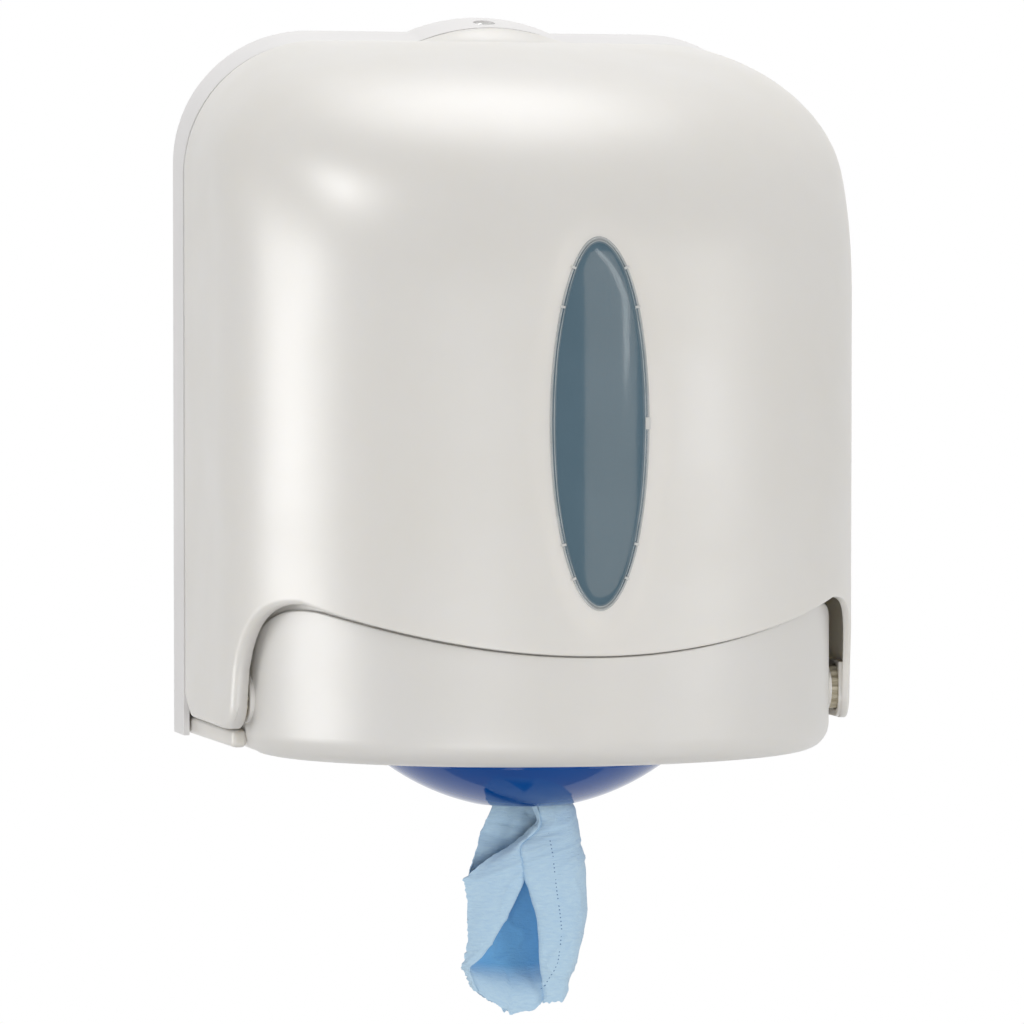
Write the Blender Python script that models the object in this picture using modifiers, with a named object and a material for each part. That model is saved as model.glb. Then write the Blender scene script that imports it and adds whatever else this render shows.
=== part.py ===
"""Workshop wipes dispenser for the wall: a moulded case that holds a centre-pull roll.

The back plate and the tray are the fixed part. The cover swings down on two ribbed hubs, a
cam lock in the hump holds it shut, and the wipe leaves through a dome under the tray.
Metres, +Z up. The wall is the plane y = 0 and the front faces -Y. Heights in the named
sizes are above the bottom edge, and the origin is the middle of the wall screws.
"""
from math import cos, pi, radians, sin, sqrt

import bmesh
import bpy
from mathutils import Matrix, Vector

# Case, closed. Depths are measured from the wall.
CASE_WIDTH = 0.300
CASE_DEPTH = 0.230
CASE_TOP = 0.330
MOUNT_HEIGHT = 0.160
CORNER_WIDTH = 0.066
CORNER_HEIGHT = 0.064
SIDE_DEPTH = 0.110
SHOULDER_HEIGHT = 0.205
CROWN_POWER = 2.4
SIDE_POWER = 2.3
HUMP_WIDTH = 0.0712
HUMP_RISE = 0.0072
HUMP_RUN = 0.016
WALL = 0.0027

# Clearances.
FIT_GAP = 0.0003
SEAM_GAP = 0.0008
RUN_GAP = 0.0010
OVERRUN = 0.020
MERGE = 0.00001

# Back plate.
PLATE_DEPTH = 0.025
PLATE_FALL = 0.0058
LIP_REACH = 0.0035
LIP_ROOT = 0.007
LIP_WALL = 0.0014
LIP_BITE = 0.0007
LIP_BOTTOM = 0.022
RIB_SPACING = 0.096
RIB_THICKNESS = 0.002
RIB_HEIGHT = 0.0035
RIB_BOTTOM = 0.095
RIB_TOP = 0.295
WALL_SCREW_SPACING = 0.190
WALL_SCREW_RISE = 0.150
WALL_SCREW_HOLE = 0.0055
KEYHOLE_HEAD = 0.0105
KEYHOLE_TRAVEL = 0.009

# Hinge of the cover.
HINGE_DEPTH = 0.118
HINGE_HEIGHT = 0.0245
HUB_DIAMETER = 0.020
HUB_RIBS = 14
HUB_RIB_DEPTH = 0.0014
HUB_RIB_SHARE = 0.5
HUB_REACH = 0.0068
HUB_BOSS_DIAMETER = 0.024
HUB_BOSS_INSIDE = 0.0005
PAD_THICKNESS = 0.0055
PAD_HEIGHT = 0.027
PAD_REAR = 0.014
PAD_MARGIN = 0.0027
PAD_RECESS = 0.0012

# Opening of the cover round the tray.
LEG_BOTTOM = 0.010
LEG_CORNER = 0.013
LEG_LEAN = 0.003
LEG_HEIGHT = 0.038
LEG_CHAMFER_DEPTH = 0.0150
LEG_CHAMFER_HEIGHT = 0.0085
SEAM_LOW = 0.048
SEAM_SIDE = 0.0793
SWEEP_REACH = 0.0443
COVER_SWEEP_SHARES = ((0, 0), (0.153, 0.534), (0.467, 1.02), (1, 1))
PANEL_SWEEP_SHARES = ((0, 0), (0.03, 0.25), (0.45, 1.25), (1, 1))

# Window.
WINDOW_WIDTH = 0.0456
WINDOW_HEIGHT = 0.1666
WINDOW_CENTRE = 0.1518
RETAINER_REACH = 0.0052
RETAINER_LAP = 0.0038
RETAINER_THICKNESS = 0.002

# Tray.
TRAY_SIDE_GAP = 0.011
TRAY_FRONT_GAP = 0.003
TRAY_WALL = 0.0025
TRAY_STEP = 0.0002
TRAY_HEIGHT = 0.076
TRAY_ROUNDING = 0.012
TRAY_FALL = 0.0025
PANEL_SIDE_STEP = 0.002
PANEL_FRONT_STEP = 0.0025
PANEL_REAR = 0.115
PANEL_FOOT = 0.035
RIM_RISE = 0.006
TRAY_BOSS_DIAMETER = 0.009
TRAY_BOSS_LENGTH = 0.0125
TRAY_SCREW_INSET = 0.025
TRAY_SCREW_HEIGHTS = (0.014, 0.060)

# Nozzle dome.
NOZZLE_SET_BACK = 0.009
DOME_DROP = 0.032
DOME_EDGE_DROP = 0.0085
DOME_WALL = 0.0024
DOME_EDGE_REACH = 0.004
DOME_SHOULDER_REACH = 0.0055
DOME_SHOULDER_HEIGHT = 0.0037
DOME_NECK_INSET = 0.011
DOME_NECK_WALL = 0.0022
DOME_HOLE = 0.023
DOME_LIP = 0.0014
LUG_COUNT = 3
LUG_WIDTH = 0.012
LUG_HEIGHT = 0.0022
LUG_REACH = 0.0032
LUG_ROOT = 0.0012
LUG_TURN = 30
DOME_RECESS_GAP = 0.0015
SEAT_INSET = 0.013
SEAT_WALL = 0.0025
SEAT_RISE = 0.0035

# Roll of wipes and the hanging wipe.
ROLL_REAR_GAP = 0.011
ROLL_FRONT_GAP = 0.043
ROLL_BORE = 0.030
ROLL_HEIGHT = 0.235
ROLL_EDGE = 0.0015
WIPE_THICKNESS = 0.0014
WIPE_DROP = 0.129
WIPE_HEM_RISE = 0.015
WIPE_TIP_OFFSET = 0.007
WIPE_HALF_WIDTH = 0.0300
WIPE_HALF_DEPTH = 0.013
WIPE_SLIT = 30
WIPE_FOLDS = 5
WIPE_FOLD_SHARE = 0.11

# Lock.
LOCK_DEPTH = 0.0125
BARREL_DIAMETER = 0.010
BARREL_SINK = 0.0015
BARREL_STUB = 0.0042
BARREL_FLANGE = 0.013
BARREL_FLANGE_HEIGHT = 0.0012
KEY_SLOT_WIDTH = 0.0014
KEY_SLOT_LENGTH = 0.0066
KEY_SLOT_DEPTH = 0.0025
HOUSING_WIDTH = 0.030
HOUSING_DEPTH = 0.0175
HOUSING_HEIGHT = 0.0176
HOUSING_SCREW_SPACING = 0.020
HOUSING_SCREW_RISE = 0.006
CAM_THICKNESS = 0.0025
CAM_WIDTH = 0.010
CAM_REACH = 0.024
DOG_THICKNESS = 0.0025
DOG_WIDTH = 0.008
DOG_HEIGHT = 0.0045
CATCH_GAP = 0.0013
CATCH_THICKNESS = 0.0025
CATCH_TAB_WIDTH = 0.012
CATCH_TAB_DROP = 0.0072
CATCH_WIDTH = 0.034
CATCH_LENGTH = 0.016
CATCH_DROP = 0.008
CATCH_SCREW_SPACING = 0.024
CATCH_SCREW_PLACE = 0.010
CATCH_BOSS_DIAMETER = 0.007

# Screws, all of one kind.
SCREW_HEAD_DIAMETER = 0.0062
SCREW_HEAD_HEIGHT = 0.0014
SCREW_SINK = 0.0018
SCREW_SHANK = 0.0028
SCREW_LENGTH = 0.011
HUB_SCREW_HOLD = 0.005
CATCH_SCREW_LENGTH = 0.0065
CAM_SCREW_LENGTH = 0.009
RECESS_WIDTH = 0.0008
RECESS_LENGTH = 0.0032
RECESS_DEPTH = 0.0007

# Facets.
FRONT_STEPS = 26
SHOULDER_STEPS = 3
CORNER_STEPS = 7
HUMP_STEPS = 8
SWEEP_STEPS = 9
ROUND_STEPS = 28
SCREW_STEPS = 14
WINDOW_STEPS = 44
DOME_STEPS = 40
ROLL_STEPS = 40
WIPE_STEPS = 24

HALF_WIDTH = CASE_WIDTH / 2
COVER_REAR = PLATE_DEPTH + SEAM_GAP
LEG_FRONT = HINGE_DEPTH + HUB_DIAMETER / 2 + RUN_GAP + PAD_MARGIN
SWEEP_END = LEG_FRONT + SWEEP_REACH
TRAY_HALF = HALF_WIDTH - TRAY_SIDE_GAP
TRAY_DEPTH = CASE_DEPTH - TRAY_FRONT_GAP
BODY_HALF = TRAY_HALF - PANEL_SIDE_STEP
BODY_DEPTH = TRAY_DEPTH - PANEL_FRONT_STEP
TRAY_REAR = WALL + FIT_GAP
FLOOR_TOP = TRAY_STEP + TRAY_WALL
SEAT_TOP = FLOOR_TOP + SEAT_RISE
ROLL_RADIUS = (CASE_DEPTH - ROLL_REAR_GAP - ROLL_FRONT_GAP) / 2
ROLL_DEPTH = ROLL_REAR_GAP + ROLL_RADIUS
NOZZLE_DEPTH = ROLL_DEPTH - NOZZLE_SET_BACK
SEAT_RADIUS = ROLL_RADIUS - SEAT_INSET
DOME_NECK = SEAT_RADIUS - DOME_NECK_INSET
DOME_EDGE = DOME_NECK + DOME_EDGE_REACH
DOME_SHOULDER = DOME_NECK + DOME_SHOULDER_REACH
DOME_SAG = DOME_DROP - DOME_EDGE_DROP
DOME_RADIUS = (DOME_EDGE**2 + DOME_SAG**2) / (DOME_SAG * 2)
SCREW_HOLE = SCREW_SHANK + FIT_GAP * 2

for old in list(bpy.data.objects):
    bpy.data.objects.remove(old)

parts = bpy.data.collections.new("workshop_wipes_dispenser")
cutters = bpy.data.collections.new("cutters")
bpy.context.scene.collection.children.link(parts)
bpy.context.scene.collection.children.link(cutters)


def up(height):
    """World height of a point so far above the bottom edge of the case."""
    return height - MOUNT_HEIGHT


# Materials


def material(name, colour, roughness, metallic=0.0):
    finish = bpy.data.materials.new(name)
    finish.use_nodes = True
    shader = finish.node_tree.nodes["Principled BSDF"]
    shader.inputs["Base Color"].default_value = (*colour, 1.0)
    shader.inputs["Roughness"].default_value = roughness
    shader.inputs["Metallic"].default_value = metallic
    finish.diffuse_color = (*colour, 1.0)
    return finish


CASE_WHITE = material("case_white", (0.80, 0.78, 0.74), 0.40)
PLATE_WHITE = material("plate_white", (0.77, 0.77, 0.78), 0.45)
HUB_CREAM = material("hub_cream", (0.74, 0.69, 0.56), 0.45)
LENS_SMOKE = material("lens_smoke", (0.12, 0.17, 0.22), 0.08)
RETAINER_WHITE = material("retainer_white", (0.70, 0.70, 0.68), 0.50)
DOME_BLUE = material("dome_blue", (0.0, 0.08, 0.37), 0.12)
WIPE_BLUE = material("wipe_blue", (0.36, 0.55, 0.75), 0.95)
LOCK_GREY = material("lock_grey", (0.30, 0.31, 0.33), 0.40)
ZINC = material("zinc_steel", (0.62, 0.62, 0.60), 0.32, 1.0)


# Making and joining solids


def keep(name, mesh, finish=None):
    """Puts a finished mesh in the parts, or with no finish among the cutters."""
    thing = bpy.data.objects.new(name, mesh)
    if finish is None:
        cutters.objects.link(thing)
        thing.hide_render = True
        thing.display_type = "WIRE"
    else:
        parts.objects.link(thing)
        mesh.materials.append(finish)
    return thing


def mesh_of(name, work):
    """Turns a bmesh into a mesh with its faces pointing out."""
    bmesh.ops.recalc_face_normals(work, faces=work.faces)
    mesh = bpy.data.meshes.new(name)
    work.to_mesh(mesh)
    work.free()
    return mesh


def smooth(thing, angle=40):
    thing.data.shade_smooth()
    thing.data.set_sharp_from_angle(angle=radians(angle))
    return thing


def box(name, low, high, finish=None, matrix=Matrix.Identity(4)):
    work = bmesh.new()
    bmesh.ops.create_cube(work, size=1)
    low, high = Vector(low), Vector(high)
    bmesh.ops.scale(work, vec=high - low, verts=work.verts)
    bmesh.ops.translate(work, vec=(low + high) / 2, verts=work.verts)
    bmesh.ops.transform(work, matrix=matrix, verts=work.verts)
    return keep(name, mesh_of(name, work), finish)


def spoke(name, place, angle, inner, outer, width, height, finish=None):
    """A block that stands out from an upright axis between two radii."""
    turn = Matrix.Translation(place) @ Matrix.Rotation(radians(angle), 4, "Z")
    return box(name, (inner, -width / 2, 0), (outer, width / 2, height), finish, turn)


def rod(name, start, end, radius, finish=None, steps=ROUND_STEPS, squeeze=(1, 1)):
    """A cylinder between two points; squeeze makes its section an ellipse."""
    start, end = Vector(start), Vector(end)
    along = end - start
    work = bmesh.new()
    bmesh.ops.create_cone(
        work, cap_ends=True, segments=steps, radius1=radius, radius2=radius, depth=along.length
    )
    bmesh.ops.scale(work, vec=(*squeeze, 1), verts=work.verts)
    turn = Vector((0, 0, 1)).rotation_difference(along).to_matrix().to_4x4()
    bmesh.ops.transform(
        work, matrix=Matrix.Translation((start + end) / 2) @ turn, verts=work.verts
    )
    return smooth(keep(name, mesh_of(name, work), finish))


def prism(name, outline, left, right, finish=None):
    """An outline of (depth, height) points pulled along X from the left to the right."""
    work = bmesh.new()
    face = work.faces.new([work.verts.new((left, -depth, up(h))) for depth, h in outline])
    moved = bmesh.ops.extrude_face_region(work, geom=[face])["geom"]
    away = [item for item in moved if isinstance(item, bmesh.types.BMVert)]
    bmesh.ops.translate(work, vec=(right - left, 0, 0), verts=away)
    return keep(name, mesh_of(name, work), finish)


def turned(name, profile, place, finish=None, steps=ROUND_STEPS, closed=True):
    """A profile of (radius, height) points, outer side first and downwards, turned about Z."""
    work = bmesh.new()
    ring = [work.verts.new((radius, 0, height)) for radius, height in profile]
    for first, second in zip(ring, ring[1:] + ring[:1] if closed else ring[1:]):
        work.edges.new((first, second))
    mesh = bpy.data.meshes.new(name)
    work.to_mesh(mesh)
    work.free()
    thing = keep(name, mesh, finish)
    turning = thing.modifiers.new("turning", "SCREW")
    turning.steps = steps
    turning.render_steps = steps
    turning.use_merge_vertices = True
    turning.merge_threshold = MERGE
    thing.location = place
    return thing


def loft(name, rings, finish=None, capped=True):
    """Joins rings of equal count, each a closed loop, or open strips where not capped."""
    work = bmesh.new()
    loops = [[work.verts.new(point) for point in ring] for ring in rings]
    count = len(loops[0])
    for low, high in zip(loops, loops[1:]):
        for k in range(count if capped else count - 1):
            after = (k + 1) % count
            work.faces.new((low[k], low[after], high[after], high[k]))
    if capped:
        work.faces.new(loops[0])
        work.faces.new(loops[-1])
    bmesh.ops.remove_doubles(work, verts=work.verts, dist=MERGE)
    return keep(name, mesh_of(name, work), finish)


def solidify(thing, thickness, offset=-1):
    wall = thing.modifiers.new("wall", "SOLIDIFY")
    wall.thickness = thickness
    wall.offset = offset
    wall.use_even_offset = True
    return thing


def boolean(target, tool, operation):
    step = target.modifiers.new(tool.name, "BOOLEAN")
    step.operation = operation
    step.solver = "EXACT"
    step.object = tool
    return target


def cut(target, *tools):
    for tool in tools:
        boolean(target, tool, "DIFFERENCE")
    return target


def join(target, *tools):
    for tool in tools:
        boolean(target, tool, "UNION")
    return target


def screw(name, seat, axis, length):
    """A pan-head screw: its head stands on the seat, and its shank runs along the axis."""
    head, shank = SCREW_HEAD_DIAMETER / 2, SCREW_SHANK / 2
    profile = [
        (0, SCREW_HEAD_HEIGHT), (head - RECESS_DEPTH, SCREW_HEAD_HEIGHT),
        (head, SCREW_HEAD_HEIGHT - RECESS_DEPTH), (head, 0), (shank, 0),
        (shank, shank - length), (0, -length),
    ]
    thing = turned(name, profile, seat, ZINC, SCREW_STEPS, closed=False)
    thing.rotation_euler = Vector((0, 0, -1)).rotation_difference(Vector(axis)).to_euler()
    for k, (wide, long) in enumerate(
        ((RECESS_WIDTH, RECESS_LENGTH), (RECESS_LENGTH, RECESS_WIDTH))
    ):
        tool = box(
            f"{name}_recess_{k + 1}",
            (-wide / 2, -long / 2, SCREW_HEAD_HEIGHT - RECESS_DEPTH),
            (wide / 2, long / 2, SCREW_HEAD_HEIGHT + OVERRUN),
        )
        tool.location = seat
        tool.rotation_euler = thing.rotation_euler
        cut(thing, tool)
    return thing


def screw_hole(name, seat, axis, length):
    """Clearance for a shank, from just before its seat to just past its tip."""
    seat, axis = Vector(seat), Vector(axis)
    return rod(
        name, seat - axis * FIT_GAP * 2, seat + axis * (length + FIT_GAP), SCREW_HOLE / 2,
        steps=SCREW_STEPS,
    )


# Shape of the case


def hump_rise(across):
    """How far the round hump at the top stands above the flat, so far from the middle."""
    half = HUMP_WIDTH / 2
    if abs(across) >= half:
        return 0.0
    radius = (half**2 + HUMP_RISE**2) / (HUMP_RISE * 2)
    return sqrt(radius**2 - across**2) - (radius - HUMP_RISE)


def plate_top(depth):
    """Height of the flat top of the back plate, which falls from the wall to the seam."""
    return CASE_TOP + PLATE_FALL * max(1 - depth / PLATE_DEPTH, 0)


def arch(depth, inset=0.0, bottom=0.0):
    """Ring at a depth, from the left foot of the arch over its hump to the right foot."""
    half = HALF_WIDTH - inset
    start = plate_top(depth) - CORNER_HEIGHT
    left = [(-half, bottom)]
    for k in range(CORNER_STEPS + 1):
        turn = pi / 2 * k / CORNER_STEPS
        left.append((
            -half + (CORNER_WIDTH - inset) * (1 - cos(turn)),
            start + (CORNER_HEIGHT - inset) * sin(turn),
        ))
    for k in range(HUMP_STEPS // 2):
        across = HUMP_WIDTH / 2 * (2 * k / HUMP_STEPS - 1)
        left.append((across, left[-k - 1][1] + hump_rise(across)))
    crest = [(0, plate_top(depth) - inset + HUMP_RISE)]
    outline = left + crest + [(-x, height) for x, height in reversed(left)]
    return [(x, -depth, up(height)) for x, height in outline]


CROWN_RISE = (CASE_TOP - SHOULDER_HEIGHT) / (
    1 - (COVER_REAR / CASE_DEPTH) ** CROWN_POWER
) ** (1 / CROWN_POWER)


def crown_reach(height, inset=0.0):
    """How far forward the side profile of the cover comes at a height."""
    share = max(height - SHOULDER_HEIGHT, 0) / (CROWN_RISE - inset)
    return (CASE_DEPTH - inset) * (1 - min(share, 1) ** CROWN_POWER) ** (1 / CROWN_POWER)


def crown_height(reach):
    """Height at which the side profile has come back to a reach."""
    return SHOULDER_HEIGHT + CROWN_RISE * (
        1 - (reach / CASE_DEPTH) ** CROWN_POWER
    ) ** (1 / CROWN_POWER)


def arch_half(height, inset=0.0):
    """Half the width of the cover at a height, as the arch of the back plate has it."""
    share = (height - CASE_TOP + CORNER_HEIGHT) / CORNER_HEIGHT
    share = min(max(share, 0), 1)
    return HALF_WIDTH - inset - CORNER_WIDTH * (1 - sqrt(1 - share**2))


def plan_half(half, reach, depth):
    """Half the width of a section, seen from above, at a depth."""
    share = max(depth - SIDE_DEPTH, 0) / (reach - SIDE_DEPTH)
    return half * sqrt(max(1 - share**2, 0))


def plan(half, straight, reach, rear):
    """Section seen from above: straight sides and half an ellipse for the front."""
    points = [(-half, -rear)]
    for k in range(FRONT_STEPS + 1):
        turn = pi * k / FRONT_STEPS
        points.append((-half * cos(turn), -straight - (reach - straight) * sin(turn)))
    return points + [(half, -rear)]


def case_surface(name, inset=0.0, finish=None):
    """The open surface of the cover, drawn in by the inset, from the legs' feet to the seam."""
    start = CASE_TOP - CORNER_HEIGHT
    heights = [LEG_BOTTOM]
    for k in range(SHOULDER_STEPS + 1):
        heights.append(SHOULDER_HEIGHT + (start - SHOULDER_HEIGHT) * k / SHOULDER_STEPS)
    for k in range(1, CORNER_STEPS + 1):
        heights.append(start + CORNER_HEIGHT * sin(pi / 2 * k / CORNER_STEPS))
    heights.append(crown_height(COVER_REAR + HUMP_RUN))
    rings = []
    for height in sorted(heights):
        reach = max(crown_reach(height), COVER_REAR)
        share = (reach - COVER_REAR) / (CASE_DEPTH - COVER_REAR)
        straight = COVER_REAR + (SIDE_DEPTH - COVER_REAR) * share**SIDE_POWER
        half = arch_half(height, inset)
        drawn = max(height - SHOULDER_HEIGHT, 0) * inset / CROWN_RISE
        fading = HUMP_RUN if height > SHOULDER_HEIGHT else MERGE
        rings.append([
            (x, y, up(height - drawn + hump_rise(x) * max(1 - (-y - COVER_REAR) / fading, 0)))
            for x, y in plan(half, straight, max(reach - inset * share, COVER_REAR), COVER_REAR)
        ])
    return loft(name, rings, finish, capped=False)


# Line between the cover and the tray, seen from the side


def seam_height(depth, half=HALF_WIDTH, reach=CASE_DEPTH):
    """The seam dips towards the front; it is the same seen from the front on every skin."""
    across = plan_half(half, reach, depth)
    return SEAM_LOW + (SEAM_SIDE - SEAM_LOW) * (across / HALF_WIDTH) ** 2


def sweep(start, end, shares):
    """A Bezier curve between two (depth, height) points, its handles given as shares."""
    handles = [
        tuple(low + (high - low) * part for low, high, part in zip(start, end, pair))
        for pair in shares
    ]
    line = []
    for k in range(SWEEP_STEPS + 1):
        t = k / SWEEP_STEPS
        weights = ((1 - t) ** 3, 3 * t * (1 - t) ** 2, 3 * t**2 * (1 - t), t**3)
        line.append(tuple(sum(w * p[i] for w, p in zip(weights, handles)) for i in (0, 1)))
    return line


def seam_line(start, half, reach, drop, shares):
    """From a point on a leg up the sweep and along the seam to beyond the front."""
    line = sweep(start, (SWEEP_END, seam_height(SWEEP_END, half, reach) - drop), shares)
    for k in range(1, SWEEP_STEPS + 1):
        depth = SWEEP_END + (reach - SWEEP_END) * k / SWEEP_STEPS
        line.append((depth, seam_height(depth, half, reach) - drop))
    return line + [(reach + OVERRUN, line[-1][1])]


# Back plate: a shallow tray against the wall, whose rim meets the cover

rear_ring = arch(0)
front_ring = arch(PLATE_DEPTH)
back_plate = loft("back_plate", [rear_ring, front_ring], PLATE_WHITE)
front_face = max(back_plate.data.polygons, key=lambda face: -face.center.y)
work = bmesh.new()
work.from_mesh(back_plate.data)
work.faces.ensure_lookup_table()
bmesh.ops.delete(work, geom=[work.faces[front_face.index]], context="FACES_ONLY")
work.to_mesh(back_plate.data)
work.free()
solidify(back_plate, WALL)

lip = loft(
    "plate_lip",
    [
        arch(PLATE_DEPTH - LIP_ROOT, WALL - LIP_BITE, LIP_BOTTOM),
        arch(PLATE_DEPTH, WALL + RUN_GAP, LIP_BOTTOM),
        arch(PLATE_DEPTH + LIP_REACH, WALL + RUN_GAP, LIP_BOTTOM),
    ],
    capped=False,
)
solidify(lip, LIP_WALL)
cut(lip, box(
    "lip_break",
    (-HUMP_WIDTH / 2 - LIP_ROOT, -COVER_REAR - OVERRUN, up(CASE_TOP - OVERRUN)),
    (HUMP_WIDTH / 2 + LIP_ROOT, 0, up(CASE_TOP + OVERRUN)),
))
join(back_plate, lip)

for side in (-1, 1):
    middle = side * RIB_SPACING / 2
    join(back_plate, box(
        f"plate_rib_{side}",
        (middle - RIB_THICKNESS / 2, -WALL - RIB_HEIGHT, up(RIB_BOTTOM)),
        (middle + RIB_THICKNESS / 2, -WALL + LIP_BITE, up(RIB_TOP)),
    ))

cut(back_plate, box(
    "tray_passage",
    (-BODY_HALF - FIT_GAP, -PLATE_DEPTH - OVERRUN, up(-OVERRUN)),
    (BODY_HALF + FIT_GAP, -WALL, up(WALL + FIT_GAP)),
))

upper = WALL_SCREW_RISE / 2
head_height = upper - KEYHOLE_TRAVEL
for side in (-1, 1):
    x = side * WALL_SCREW_SPACING / 2
    for z in (-upper, upper):
        cut(back_plate, rod(
            f"wall_hole_{side}_{'low' if z < 0 else 'high'}", (x, OVERRUN, z), (x, -OVERRUN, z),
            WALL_SCREW_HOLE / 2, steps=SCREW_STEPS,
        ))
    cut(
        back_plate,
        rod(
            f"keyhole_{side}", (x, OVERRUN, head_height), (x, -OVERRUN, head_height),
            KEYHOLE_HEAD / 2, steps=SCREW_STEPS,
        ),
        box(
            f"keyhole_slot_{side}",
            (x - WALL_SCREW_HOLE / 2 + FIT_GAP, -OVERRUN, head_height),
            (x + WALL_SCREW_HOLE / 2 - FIT_GAP, OVERRUN, upper),
        ),
    )


# Tray: a basin with a raised panel round its front, whose rear edges the legs cover


def block(name, half, reach, rear, bottom, rounding, finish=None):
    """A solid with the case's plan and a rounded bottom, up to above the seam."""
    rows = []
    for k in range(CORNER_STEPS + 1):
        turn = pi / 2 * k / CORNER_STEPS
        rows.append((rounding * (1 - sin(turn)), bottom + rounding * (1 - cos(turn))))
    rows.append((0, SEAM_SIDE + OVERRUN))
    return loft(name, [
        [(x, y, up(height)) for x, y in plan(half - inset, SIDE_DEPTH, reach - inset, rear)]
        for inset, height in rows
    ], finish)


tray = block(
    "tray", BODY_HALF, BODY_DEPTH, TRAY_REAR, TRAY_STEP - TRAY_FALL,
    TRAY_ROUNDING - PANEL_SIDE_STEP, CASE_WHITE,
)
panel = block("tray_panel", TRAY_HALF, TRAY_DEPTH, TRAY_REAR, -TRAY_FALL, TRAY_ROUNDING)
panel_line = seam_line(
    (PANEL_REAR, PANEL_FOOT), TRAY_HALF, TRAY_DEPTH, SEAM_GAP, PANEL_SWEEP_SHARES
)
boolean(panel, prism(
    "tray_panel_zone",
    [(PANEL_REAR, -OVERRUN)] + panel_line + [(TRAY_DEPTH + OVERRUN, -OVERRUN)],
    -CASE_WIDTH, CASE_WIDTH,
), "INTERSECT")
join(tray, panel)
cut(tray, block(
    "tray_hollow", BODY_HALF - TRAY_WALL, BODY_DEPTH - TRAY_WALL, TRAY_REAR + TRAY_WALL,
    FLOOR_TOP - TRAY_FALL, TRAY_ROUNDING - PANEL_SIDE_STEP - TRAY_WALL,
))
rim_line = []
for k in range(FRONT_STEPS + 1):
    depth = BODY_DEPTH * k / FRONT_STEPS
    height = seam_height(depth, BODY_HALF, BODY_DEPTH) + RIM_RISE
    rim_line.append((depth, min(height, TRAY_HEIGHT)))
cut(tray, prism(
    "tray_top",
    [(-OVERRUN, TRAY_HEIGHT)] + rim_line + [
        (BODY_DEPTH + OVERRUN, rim_line[-1][1]),
        (BODY_DEPTH + OVERRUN, TRAY_HEIGHT + OVERRUN * 2),
        (-OVERRUN, TRAY_HEIGHT + OVERRUN * 2),
    ],
    -CASE_WIDTH, CASE_WIDTH,
))

boss_face = plan_half(
    BODY_HALF - TRAY_WALL, BODY_DEPTH - TRAY_WALL, HINGE_DEPTH + HUB_BOSS_DIAMETER / 2
) - HUB_BOSS_INSIDE
for side in (-1, 1):
    join(tray, rod(
        f"hub_boss_{side}", (side * boss_face, -HINGE_DEPTH, up(HINGE_HEIGHT)),
        (side * (TRAY_HALF + FIT_GAP), -HINGE_DEPTH, up(HINGE_HEIGHT)), HUB_BOSS_DIAMETER / 2,
    ))

nozzle_place = (0, -NOZZLE_DEPTH, up(0))
foot_middle = TRAY_STEP - TRAY_FALL + TRAY_WALL / 2
join(tray, rod(
    "dome_floor", (0, -NOZZLE_DEPTH, up(foot_middle)), (0, -NOZZLE_DEPTH, up(FLOOR_TOP)),
    SEAT_RADIUS - SEAT_WALL / 2, steps=DOME_STEPS,
))
cut(tray, rod(
    "dome_recess", (0, -NOZZLE_DEPTH, up(-OVERRUN)), (0, -NOZZLE_DEPTH, up(TRAY_STEP)),
    DOME_SHOULDER + DOME_RECESS_GAP, steps=DOME_STEPS,
))
join(tray, turned(
    "roll_seat",
    [
        (SEAT_RADIUS, SEAT_TOP), (SEAT_RADIUS, foot_middle),
        (SEAT_RADIUS - SEAT_WALL, foot_middle), (SEAT_RADIUS - SEAT_WALL, SEAT_TOP),
    ],
    nozzle_place, steps=DOME_STEPS,
))
cut(tray, rod(
    "dome_hole", (0, -NOZZLE_DEPTH, up(-OVERRUN)), (0, -NOZZLE_DEPTH, up(FLOOR_TOP + SEAT_RISE)),
    DOME_NECK + RUN_GAP, steps=DOME_STEPS,
))
lug_angles = [90 + 360 / LUG_COUNT * k for k in range(LUG_COUNT)]
for angle in lug_angles:
    cut(tray, spoke(
        f"lug_notch_{angle:.0f}", (0, -NOZZLE_DEPTH, up(-OVERRUN / 2)), angle + LUG_TURN, 0,
        DOME_NECK + LUG_REACH + RUN_GAP, LUG_WIDTH + RUN_GAP * 2, OVERRUN,
    ))


# Screws that hold the tray on the back plate, from behind

for side, start in ((-1, 1), (1, 1 + len(TRAY_SCREW_HEIGHTS))):
    for number, height in enumerate(TRAY_SCREW_HEIGHTS, start):
        x = side * (BODY_HALF - TRAY_SCREW_INSET)
        name = f"tray_screw_{number}"
        seat = (x, -SCREW_SINK + FIT_GAP, up(height))
        join(tray, rod(
            f"{name}_boss", (x, -TRAY_REAR - TRAY_WALL / 2, up(height)),
            (x, -TRAY_REAR - TRAY_BOSS_LENGTH, up(height)), TRAY_BOSS_DIAMETER / 2,
            steps=SCREW_STEPS,
        ))
        hole = screw_hole(f"{name}_hole", seat, (0, -1, 0), SCREW_LENGTH)
        cut(tray, hole)
        cut(back_plate, hole, rod(
            f"{name}_sink", (x, OVERRUN, up(height)), (x, -SCREW_SINK, up(height)),
            SCREW_HEAD_DIAMETER / 2 + FIT_GAP, steps=SCREW_STEPS,
        ))
        screw(name, seat, (0, -1, 0), SCREW_LENGTH)


# Hubs on the tray's sides, which the cover's legs swing on


def hub_outline():
    """A ribbed wheel seen from the side."""
    outline = []
    outer = HUB_DIAMETER / 2
    for k in range(HUB_RIBS):
        for share, radius in (
            (0, outer - HUB_RIB_DEPTH), (0, outer), (HUB_RIB_SHARE, outer),
            (HUB_RIB_SHARE, outer - HUB_RIB_DEPTH),
        ):
            turn = 2 * pi * (k + share) / HUB_RIBS
            outline.append((
                HINGE_DEPTH + radius * cos(turn), HINGE_HEIGHT + radius * sin(turn)
            ))
    return outline


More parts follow.
